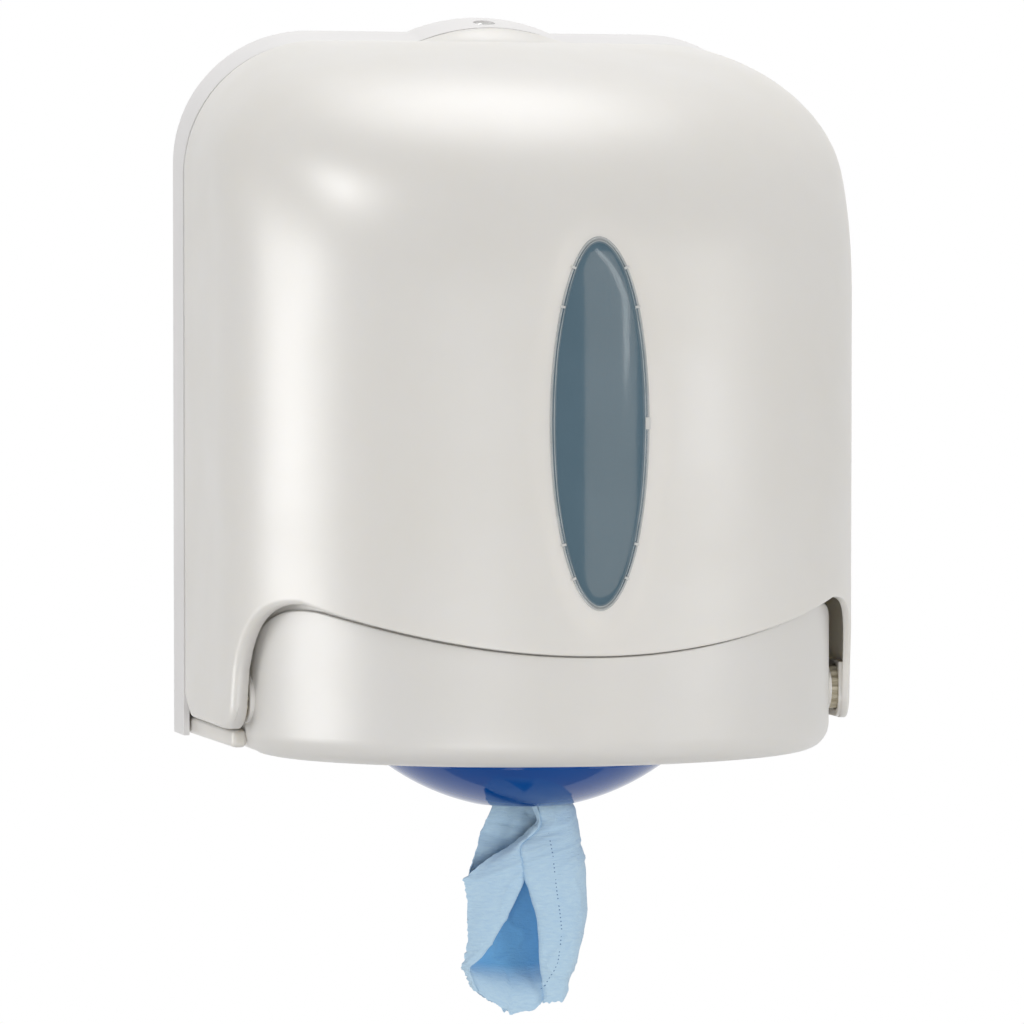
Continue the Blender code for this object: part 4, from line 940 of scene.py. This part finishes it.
work = turn_profile([
    (0, 0.3398), (0.0044, 0.3398), (0.0048, 0.33965), (0.0050, 0.3393), (0.0050, 0.3351), (0.0063, 0.3351),
    (0.0065, 0.3349), (0.0065, 0.3340), (0.0064, 0.3339), (0.0050, 0.3339), (0.0050, 0.3122),
    (0.0047, 0.3118), (0, 0.3118),
], LOCK_DEPTH, 96)
barrel = add_piece("key_barrel", work, BARREL_METAL, "lock", "lock_grey", "lock_barrel")
carve(
    barrel,
    block((-0.0007, -LOCK_DEPTH - 0.0033, up(0.3373)), (0.0007, -LOCK_DEPTH + 0.0033, up(0.345))),
    upright(0, LOCK_DEPTH, 0.305, 0.3204, SCREW_BORE),
)

CAM_LOW, CAM_HIGH, CAM_HALF, CAM_REACH = 0.3090, 0.3115, 0.004, 0.024
work = upright(0, LOCK_DEPTH, CAM_LOW, CAM_HIGH, 0.005, 64)
cam = add_piece("cam_plate", work, ZINC, "lock", "zinc_steel", "lock_cam")
for right, top in ((0, CAM_HIGH), (0.0025 - CAM_REACH, 0.3160)):
    low = (-CAM_REACH, -LOCK_DEPTH - CAM_HALF, up(CAM_LOW))
    carve(cam, block(low, (right, -LOCK_DEPTH + CAM_HALF, up(top))), how="UNION")
carve(soften(cam, 0.0003, 50), upright(0, LOCK_DEPTH, 0.30, 0.313, SCREW_BORE))

TAB_REAR, CATCH_TOP, CATCH_HALF, CATCH_SCREW_X = 0.0302, 0.322, 0.017, 0.012
work = block((-CATCH_HALF, -TAB_REAR - 0.016, up(CATCH_TOP - 0.0025)), (CATCH_HALF, -TAB_REAR, up(CATCH_TOP)))
catch = add_piece("catch_plate", work, LOCK_GREY, "cover", "lock_grey", "latch_catch")
carve(catch, block(
    (-0.006, -TAB_REAR - 0.0025, up(CATCH_TOP - 0.0097)), (0.006, -TAB_REAR, up(CATCH_TOP - 0.001))
), how="UNION")
settle(soften(catch, 0.0004, 50))


def catch_rods(low, high, radius, steps=24):
    """Upright rods in the places of the catch's two screws."""
    work = None
    for x in (-CATCH_SCREW_X, CATCH_SCREW_X):
        work = upright(x, TAB_REAR + 0.010, low, high, radius, steps, work)
    return work


carve(catch, catch_rods(0.315, 0.330, SCREW_BORE))
work = catch_rods(0.3223, 0.3285, 0.0035, 40)
bosses = add_piece("cover_catch_bosses", work, CASE_WHITE, "cover", "case_white", "cover")
carve(bosses, catch_rods(0.315, 0.3262, SCREW_BORE))


# Dome. A glossy blue bowl under the tray, held by a bayonet neck with three lugs: a shoulder
# lies against the tray's floor, and the wipe is drawn through the hole in its round bottom.

DOME_BLUE = moulding(
    "dome_blue", (0.000, 0.072, 0.330), (0.000, 0.063, 0.300), 0.050, spread=0.03, tone=30.0, relief=0.02,
    Specular_IOR_Level=0.15,
)
DOME_DROP, DOME_WALL, DOME_EDGE, DOME_SHOULDER, DOME_HOLE = 0.032, 0.0024, 0.068, 0.0695, 0.023
DOME_SAG = DOME_DROP - 0.0085
DOME_RADIUS = (DOME_EDGE**2 + DOME_SAG**2) / (DOME_SAG * 2)


def ball_height(across, radius):
    return DOME_RADIUS - DOME_DROP - sqrt(radius**2 - across**2)


outline = [(DOME_NECK - 0.0004, 0.0052), (DOME_NECK, 0.0048), (DOME_NECK, -0.0003)]
outline += [(DOME_SHOULDER - 0.0004, -0.0003), (DOME_SHOULDER, -0.0007), (DOME_SHOULDER, -0.0034)]
outline += [(DOME_SHOULDER - 0.0003, -0.0039), (DOME_EDGE + 0.0004, -0.0041), (DOME_EDGE, -0.0046)]
HOLE_ROUNDING = 0.0013
brim, bore = DOME_HOLE + HOLE_ROUNDING, DOME_NECK - 0.0022
outer_run = [DOME_EDGE + (brim - DOME_EDGE) * k / 48 for k in range(49)]
inner_run = [brim + (bore - brim) * k / 32 for k in range(33)]
outline += [(across, ball_height(across, DOME_RADIUS)) for across in outer_run]
low, high = ball_height(brim, DOME_RADIUS), ball_height(brim, DOME_RADIUS - DOME_WALL)
for k in range(1, 8):
    turn = pi * k / 8
    outline.append((brim - HOLE_ROUNDING * sin(turn), (low + high) / 2 - (high - low) / 2 * cos(turn)))
outline += [(across, ball_height(across, DOME_RADIUS - DOME_WALL)) for across in inner_run]
outline += [(bore, 0.0048), (DOME_NECK - 0.0018, 0.0052)]
work = turn_profile(outline, NOZZLE_DEPTH, 200)
three_lugs(0.0030, 90, (DOME_NECK - 0.0012, -0.006, 0), (DOME_NECK + 0.0032, 0.006, 0.0022), 0.0004, work)
settle(add_piece("dome", work, DOME_BLUE, "nozzle", "dome_blue", "nozzle_bowl"))


# Roll. Blue crepe paper wound in hundreds of turns round an open bore; it stands on the ring
# in the tray, and the wipes are pulled from the middle.

ROLL_DEPTH, ROLL_RADIUS, ROLL_BORE, ROLL_LOW, ROLL_HIGH = 0.099, 0.088, 0.030, 0.0065, 0.2415


def crepe():
    """Group for crepe paper: fine cross wrinkles, soft felt and a drift of tone."""
    group, given, out = new_group("crepe_paper", {
        "Vector": (0.0, 0.0, 0.0), "Colour": (0.4, 0.6, 0.8, 1), "Shade": (0.3, 0.5, 0.7, 1),
        "Wrinkle Scale": 260.0, "Stretch": (1.0, 1.0, 1.0), "Relief": 0.4,
    }, {"Colour": "Color", "Normal": "Vector"})
    place = given["Vector"]
    scaled = add_node(group, "VectorMath", {0: place, 1: given["Stretch"]}, operation="MULTIPLY")
    wrinkle = add_node(group, "TexNoise", {
        "Vector": scaled.outputs["Vector"], "Scale": given["Wrinkle Scale"], "Detail": 4, "Distortion": 0.4,
    }).outputs["Fac"]
    felt = add_node(group, "TexNoise", {"Vector": place, "Scale": 1600, "Detail": 3}).outputs["Fac"]
    drift = add_node(group, "TexNoise", {"Vector": place, "Scale": 38, "Detail": 4}).outputs["Fac"]
    mixed = maths(group, "MULTIPLY_ADD", felt, 0.35, wrinkle)
    spread = add_node(group, "MapRange", {
        "From Min": 0.45, "From Max": 1.25, "Value": maths(group, "MULTIPLY_ADD", drift, 0.5, mixed),
    })
    bump = add_node(group, "Bump", {"Distance": 0.0006, "Strength": given["Relief"], "Height": mixed})
    dial(out, {
        "Colour": mix_tone(group, spread.outputs["Result"], given["Shade"], given["Colour"]),
        "Normal": bump.outputs["Normal"],
    })
    return group


CREPE = crepe()


def paper(name, colour, shade, stretch, relief, source):
    """A crepe paper finish; its wrinkles follow the object or the sheet's own map."""
    finish = skinned(name, CREPE, {
        "Colour": (*colour, 1), "Shade": (*shade, 1), "Wrinkle Scale": 520.0, "Stretch": stretch,
        "Relief": relief,
    }, {
        "Base Color": "Colour", "Normal": "Normal", "Roughness": 0.92, "Sheen Weight": 0.25,
        "Sheen Roughness": 0.5,
    })
    place = add_node(finish.node_tree, "TexCoord").outputs[source]
    dial(finish.node_tree.nodes["Group"], {"Vector": place})
    return finish


ROLL_PAPER = paper("roll_paper", (0.50, 0.64, 0.78), (0.40, 0.54, 0.70), (1.0, 1.0, 0.2), 0.5, "Object")
tree = ROLL_PAPER.node_tree
place = tree.nodes["Texture Coordinate"].outputs["Object"]
centre = add_node(tree, "Mapping", {"Location": (0, ROLL_DEPTH, 0), "Vector": place}).outputs["Vector"]
turns = add_node(tree, "TexWave", {
    "Scale": 260.0, "Distortion": 1.2, "Detail": 3, "Detail Scale": 1.4, "Vector": centre,
}, wave_type="RINGS", rings_direction="Z").outputs["Fac"]
layers = add_node(tree, "Bump", {
    "Strength": 0.35, "Distance": 0.0008, "Height": turns, "Normal": tree.nodes["Group"].outputs["Normal"],
})
dial(tree.nodes["Principled BSDF"], {"Normal": layers.outputs["Normal"]})

face_run = ROLL_RADIUS - 0.0015 - ROLL_BORE
outline = [(ROLL_BORE + face_run * (1 - k / 14), ROLL_HIGH - 0.0006 * (k % 2)) for k in range(15)]
outline += [(ROLL_BORE, ROLL_HIGH - 0.02), (ROLL_BORE, ROLL_LOW + 0.02)]
outline += [(ROLL_BORE + face_run * k / 14, ROLL_LOW + 0.0003 * (k % 2)) for k in range(15)]
outline += [(ROLL_RADIUS - 0.0004, ROLL_LOW + 0.0005), (ROLL_RADIUS, ROLL_LOW + 0.0015)]
outline += [(ROLL_RADIUS, ROLL_LOW + 0.08), (ROLL_RADIUS, ROLL_HIGH - 0.08)]
outline += [(ROLL_RADIUS, ROLL_HIGH - 0.0015), (ROLL_RADIUS - 0.0004, ROLL_HIGH - 0.0005)]
work = turn_profile(outline, ROLL_DEPTH, 140)
settle(add_piece("paper_roll", work, ROLL_PAPER, "base", "wipe_blue", "wipes_roll"))


# Wipe. The end of the crepe sheet: it comes out of the roll's bore, through the dome, and hangs
# in folds. Its torn corner is turned over at the front left, a deep fold opens beside it, and
# pin holes run down the right side where the next sheet would tear off.

WIPE_PAPER = paper("wipe_paper", (0.59, 0.79, 0.93), (0.44, 0.65, 0.87), (0.5, 1.6, 1.0), 0.55, "UV")
PAPER_WIDTH, PAPER_THICKNESS, WIPE_COLUMNS, WIPE_ROWS = 0.180, 0.0004, 190, 200
WIPE_TOP, WIPE_TIP, WIPE_LENGTH, FACE_SHARE = 58.0, -129.5, 0.1875, 0.80

# Millimetres. Each row of the sheet: its height, the lean towards the roll, the left and right
# edge, the torn edge, the fold beside it, the fold past the hollow, the hollow, the half depth.
wipe_table = np.array([
    (58, 17.5, -8.6, 8.6, -4, -2, -1, 0, 2.2),
    (40, 13.7, -10.8, 10.8, -5, -2, -1, 0, 4.2),
    (20, 7.4, -12, 12, -5, -2, -1, 0, 6.7),
    (0, 2.3, -13.6, 13.8, -3, 0, 1, 0.04, 9),
    (-14, 0.4, -14.8, 15.6, 0, 1.6, 2.6, 0.06, 10),
    (-23, 0, -15.4, 17, 1, 2.4, 3.2, 0.08, 10.4),
    (-28.5, 0, -15.2, 21, 2, 3.6, 4.2, 0.1, 10.6),
    (-31.5, 0, -15.2, 23.8, 2.8, 4.4, 5, 0.12, 11.4),
    (-37.5, 0, -18, 25.2, 4.5, 5.4, 5.9, 0.18, 12),
    (-42.5, 0, -19.8, 26, 1.2, 2.4, 3, 0.35, 12.4),
    (-48.5, 0, -21.8, 27, -6.8, -4.2, -3.7, 0.75, 12.6),
    (-56, 0, -24.4, 28.4, -19.5, -3, -2.6, 1, 13),
    (-65, 0, -27.6, 29.6, -29.6, -1.6, -1, 1, 13),
    (-75, 0, -28, 30.3, -28.6, -6.3, 1.5, 1, 13),
    (-83, 0, -28.4, 30.4, -28.6, -10.8, 3.5, 1, 13),
    (-93, 0, -27, 27.6, -28.2, -17, 4.6, 1, 12.4),
    (-100, 0, -28.2, 26.2, -29.4, -21.6, 5, 1, 12),
    (-105, 0, -29, 25.2, -30.8, -26.6, 5.3, 0.9, 11.6),
    (-110, 0, -29, 24.4, -31, -28, 5.6, 0.7, 11.2),
    (-116, 0, -28.2, 22.6, -30.2, -27.2, 6.6, 0.35, 10.4),
    (-122, 0, -26.8, 21.4, -28.8, -25.8, 7.4, 0.15, 9.6),
    (-129.5, 0, -24.8, 20.6, -26.8, -23.8, 8, 0.08, 8.6),
])
hem_line = np.array([
    (-30, -113.6), (-28.4, -114.6), (-24.1, -117.5), (-20.6, -120), (-17.1, -122.6),
    (-12, -125.2), (-9.4, -126.6), (-8.3, -129.5), (-6.8, -128.3), (4, -127),
    (7.3, -123.6), (16.7, -123.3), (19, -121), (21.4, -118), (24, -116),
])


def smooth_through(points, places):
    """A smooth line through points, read at places that count along the points."""
    points = np.asarray(points, dtype=float)
    ends = np.concatenate([2 * points[:1] - points[1:2], points, 2 * points[-1:] - points[-2:-1]])
    k = np.clip(places.astype(int), 0, len(points) - 2)
    t = (places - k).reshape((-1,) + (1,) * (points.ndim - 1))
    a, b, c, d = ends[k], ends[k + 1], ends[k + 2], ends[k + 3]
    return b + 0.5 * t * (c - a + t * (2 * a - 5 * b + 4 * c - d + t * (3 * (b - c) + d - a)))


def wipe_section(row):
    """The sheet's path across a row, from its torn edge round to its far edge, seen from above."""
    low, right, torn, fold, crease, hollow, half = row[2:]
    flap, front, width = fold - torn, right - crease, right - low
    face = FACE_SHARE * half
    path = [(torn, 0.46 * half), (torn + 0.22 * flap, 0.66 * half)]
    path += [(torn + 0.55 * flap, face + 0.4), (torn + 0.86 * flap, face + 0.6)]
    for share, run, drop in (
        (0, 0, 1.2), (0, -1.5, 4.2), (0, -0.6, 8.0), (0.30, 0, 12.6), (0.68, 0, 13.4), (1, 2.6, 12.0),
        (1, 6.0, 8.0), (1, 4.0, 4.0), (1, 0.8, 2.0),
    ):
        path.append((fold + share * (crease - fold) + run * hollow, face - drop * hollow))
    path.append((crease, face + 0.2))
    for share, rise in ((0.09, 0.93), (0.32, 1.00), (0.60, 0.94), (0.84, 0.66), (1, 0.10)):
        path.append((crease + share * front, rise * half))
    path.append((right - 0.06 * width, -0.44 * half))
    loose = np.interp(row[0], (-75, -62, -50, -24, 0), (1.0, 0.7, 0.3, 0.3, 1.0))
    for share, back in (
        (0.16, 0.86), (0.25, 0.60), (0.33, 1.00), (0.43, 0.66), (0.52, 1.02), (0.61, 0.62), (0.70, 0.90),
        (0.80, 0.42), (0.90, 0.34), (0.97, 0.04), (1.00, -0.28),
    ):
        path.append((right - share * width, -half * loose * (back * loose + 0.6 * (1 - loose))))
    return path


steps = np.linspace(0, len(wipe_table) - 1, 1200)
lines = smooth_through(wipe_table, steps)
even = np.interp(np.linspace(WIPE_TOP, WIPE_TIP, WIPE_ROWS + 1), lines[::-1, 0], steps[::-1])
lines = smooth_through(wipe_table, even)
pace = np.linspace(0, 1, WIPE_COLUMNS + 1)
wipe_grid = []
for row in lines:
    path = np.array(wipe_section(row))
    places = np.linspace(0, len(path) - 1, 900)
    fine = smooth_through(path, places)
    run = np.concatenate([[0], np.cumsum(np.hypot(*np.diff(fine, axis=0).T))])
    knots = np.interp(pace * (len(path) - 1), places, run)
    share = 0.35 * knots / run[-1] + 0.65 * pace
    wipe_grid.append(np.stack([np.interp(share * run[-1], run, fine[:, k]) for k in (0, 1)], axis=1))
wipe_grid = np.array(wipe_grid)
x, out = wipe_grid[..., 0], wipe_grid[..., 1]
height = np.repeat(lines[:, :1], WIPE_COLUMNS + 1, axis=1)
hem = np.interp(x, hem_line[:, 0], hem_line[:, 1])
height = np.where(height < -104, -104 + (height + 104) * (hem + 104) / -25.5, height)
wipe_points = np.stack([x, -(90 - lines[:, 1:2] + out), height - MOUNT_HEIGHT * 1000], axis=-1) / 1000
across = np.cumsum(np.linalg.norm(np.diff(wipe_points, axis=1, prepend=wipe_points[:, :1]), axis=2), axis=1)
along = np.linspace(0, WIPE_LENGTH, WIPE_ROWS + 1)[:, None] + across * 0
normals = np.cross(np.gradient(wipe_points, axis=0), np.gradient(wipe_points, axis=1))
normals /= np.maximum(np.linalg.norm(normals, axis=2, keepdims=True), 1e-9)


def crumple(u, v):
    """How far the paper stands out of its smooth form, from soft buckles and sharper creases."""
    soft = noise.noise((u * 46 + 3.1, v * 30, 0.7)) * 0.00120 + noise.noise((u * 120, v * 84, 5.2)) * 0.00045
    crease = 1 - abs(noise.noise((u * 58 + v * 40, v * 34 - u * 22, 9.4))) * 3.2
    return soft + max(crease, 0) ** 3 * 0.00075 + noise.noise((u * 420, v * 300, 2.6)) * 0.00012


def frayed(place, *fibres):
    """How far a torn edge stands out at a place along it, from coarse fibres and from fine ones."""
    coarse, fine = (noise.noise((place * scale, y, z)) for scale, y, z in fibres)
    return coarse * 0.0008 + fine * 0.0004


free = np.clip((-28 - height) / 9, 0, 1)
for j in range(WIPE_ROWS + 1):
    for i in range(WIPE_COLUMNS + 1):
        u, v = float(across[j, i]), float(along[j, i])
        tip = max(1 - abs(height[j, i] + 64.5) / 1.6, 0) * max(1 - i / 4, 0)
        wipe_points[j, i, 0] -= tip * 0.0022
        wipe_points[j, i] += normals[j, i] * crumple(u, v) * float(free[j, i])
        torn = max(1 - i / 3, 0) * float(free[j, i])
        if torn:
            wipe_points[j, i, 0] += torn * frayed(v, (900, 0.3, 4.4), (2300, 8.3, 1.4))
        ragged = max(1 - (WIPE_ROWS - j) / 3, 0)
        if ragged:
            wipe_points[j, i, 2] += ragged * frayed(u, (520, 7.3, 2.2), (1500, 1.3, 6.2))

order = []


def wipe_place(i, j):
    order.append((i, j))
    return wipe_points[j, i]


work = draw_skin(WIPE_COLUMNS, WIPE_ROWS, wipe_place)
sheet_map = work.loops.layers.uv.new("sheet")
# The layer keeps the place of the pin holes in X and Y, and in Z the painted shade of the hollow.
pin_and_shade_layer = work.verts.layers.float_vector.new("pin_holes_and_hollow_shade")
pin_line = np.array([
    (-20, 6), (-39.9, 8.3), (-55, 10.8), (-68.4, 12.1), (-79.3, 13.8), (-89.3, 15.1), (-104.5, 13.4),
    (-122.9, 4), (-130, 1),
])
work.verts.index_update()
for face in work.faces:
    for corner in face.loops:
        i, j = order[corner.vert.index]
        corner[sheet_map].uv = (across[j, i], along[j, i])
for v in work.verts:
    i, j = order[v.index]
    off = x[j, i] - np.interp(-height[j, i], -pin_line[:, 0], pin_line[:, 1])
    facing_front = out[j, i] > 0 and i > WIPE_COLUMNS * 0.3
    # Painted shade: Z darkens the hollow of the fold towards a deeper blue, more the further in it lies.
    deep = (FACE_SHARE * lines[j, 8] - out[j, i]) / 10 if 0.12 < i / WIPE_COLUMNS < 0.46 else 0
    deep *= min(max((lines[j, 7] - 0.05) / 0.9, 0), 1)
    v[pin_and_shade_layer] = (off / 1000 if facing_front else 1, -height[j, i] / 1000, min(max(deep, 0), 1))
wipe = add_piece("hanging_paper", work, WIPE_PAPER, "base", "wipe_blue", "hanging_wipe")
wall_it(wipe, PAPER_THICKNESS, 0).modifiers["wall"].use_even_offset = False
settle(wipe, 80)

PIN_STEP, PIN_HALF = 0.0018, 0.00028
tree = WIPE_PAPER.node_tree
holes = add_node(tree, "Attribute", attribute_name="pin_holes_and_hollow_shade").outputs["Vector"]
parts = add_node(tree, "SeparateXYZ", {"Vector": holes}).outputs
off_line = maths(tree, "ABSOLUTE", parts["X"])
off_pin = maths(tree, "ABSOLUTE", maths(tree, "WRAP", parts["Y"], PIN_STEP / 2, -PIN_STEP / 2))
near_pin = maths(tree, "LESS_THAN", maths(tree, "MAXIMUM", off_line, off_pin), PIN_HALF)
some = add_node(tree, "TexNoise", {"Scale": 260.0, "Vector": holes}).outputs["Fac"]
pierced = maths(tree, "MULTIPLY", maths(tree, "GREATER_THAN", some, 0.45), near_pin)
# Painted shade: the hollow of the fold is mixed towards a deeper blue by the Z of the layer.
hollow_shade_colour = mix_tone(tree, parts["Z"], tree.nodes["Group"].outputs["Colour"], (0.16, 0.42, 0.72, 1))
dial(tree.nodes["Principled BSDF"], {"Base Color": mix_tone(tree, pierced, hollow_shade_colour, (0.10, 0.22, 0.42, 1))})


# Screws. The pan heads of the solids are right as they are; they are zinc plated.

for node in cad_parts:
    if "screw" in node:
        made = bpy.data.objects[node]
        for place in made.material_slots:
            place.material = ZINC


# Studio. A pale floor below, a white surround, soft strips to the left and the right, a soft
# lamp at the front, a small one upper left and one overhead; four cards only show as gloss.
# The camera stands well back, a little above the middle.

bpy.ops.mesh.primitive_circle_add(vertices=96, radius=0.45, fill_type="NGON", location=(0, -0.1, -0.75))
floor = bpy.context.object
floor.name = "studio_floor"
FLOOR_PALE = bpy.data.materials.new("floor_pale")
FLOOR_PALE.use_nodes = True
tree = FLOOR_PALE.node_tree
surface = dial(tree.nodes["Principled BSDF"], {"Base Color": (0.55, 0.55, 0.55, 1), "Roughness": 0.9})
seen = add_node(tree, "LightPath").outputs["Is Camera Ray"]
blend = add_node(tree, "MixShader", {
    "Fac": maths(tree, "MULTIPLY", seen, 0.65), 1: surface.outputs["BSDF"],
    2: add_node(tree, "Emission").outputs["Emission"],
})
dial(tree.nodes["Material Output"], {"Surface": blend.outputs["Shader"]})
floor.data.materials.append(FLOOR_PALE)

world = bpy.data.worlds.new("white_surround")
bpy.context.scene.world = world
world.use_nodes = True
tree = world.node_tree
seen = add_node(tree, "LightPath").outputs
direct = maths(tree, "MAXIMUM", seen["Is Camera Ray"], seen["Is Glossy Ray"])
clear = maths(tree, "MAXIMUM", direct, seen["Is Transmission Ray"])
level = add_node(tree, "MapRange", {"To Min": 0.47, "To Max": 1.0, "Value": clear}).outputs["Result"]
dial(tree.nodes["Background"], {"Color": (1, 1, 1, 1), "Strength": level})


def soft_lamp(name, round_from_front, rise, away, size, power, tint=(1, 1, 1), card=False, lean=0):
    """An area lamp that faces the case; its place is given by two angles and a distance."""
    lamp = bpy.data.lights.new(name, "AREA")
    lamp.shape = "RECTANGLE" if len(size) > 1 else "DISK"
    lamp.size, lamp.size_y, lamp.energy, lamp.color = size[0], size[-1], power, tint
    stand = bpy.data.objects.new(name, lamp)
    stand.visible_diffuse = not card
    turn, lift = radians(round_from_front), radians(rise)
    towards = Vector((sin(turn) * cos(lift), -cos(turn) * cos(lift), sin(lift)))
    stand.location = Vector((0, -0.1, 0)) + towards * away
    level = towards.to_track_quat("Z", "Y").to_matrix()
    stand.rotation_euler = (level @ Matrix.Rotation(radians(lean), 3, "Z")).to_euler()
    bpy.context.scene.collection.objects.link(stand)


soft_lamp("left_strip", -90, 2, 2.4, (0.8, 1.4), 6)
soft_lamp("left_card", -92, 0, 2.5, (1.6, 1.6), 42, card=True)
soft_lamp("right_strip", 48, 5, 2.4, (0.8, 1.4), 12)
soft_lamp("front_lamp", -22, -20, 3.0, (1.5,), 22)
soft_lamp("key_lamp", -74, 41, 3.0, (0.7,), 6)
soft_lamp("key_card", -74, 41, 2.9, (0.55,), 24, card=True)
soft_lamp("streak_card", 18, 13, 2.6, (0.08, 1.3), 1.7, card=True, lean=17)
soft_lamp("top_lamp", 165, 72, 2.2, (1.5,), 20.5)
soft_lamp("window_card", 17.4, 8, 2.6, (0.70, 1.5), 7.2, (1.0, 0.88, 0.74), card=True)

camera = bpy.data.cameras.new("photo_camera")
camera.sensor_width, camera.lens = 36.0, 199.1
camera_object = bpy.data.objects.new("photo_camera", camera)
camera_object.location = (-0.6555, -2.6655, 0.0493)
camera_object.rotation_euler = (radians(87.80), 0, radians(-14.16))
bpy.context.scene.collection.objects.link(camera_object)
bpy.context.scene.camera = camera_object
bpy.context.scene.view_settings.view_transform = "Standard"
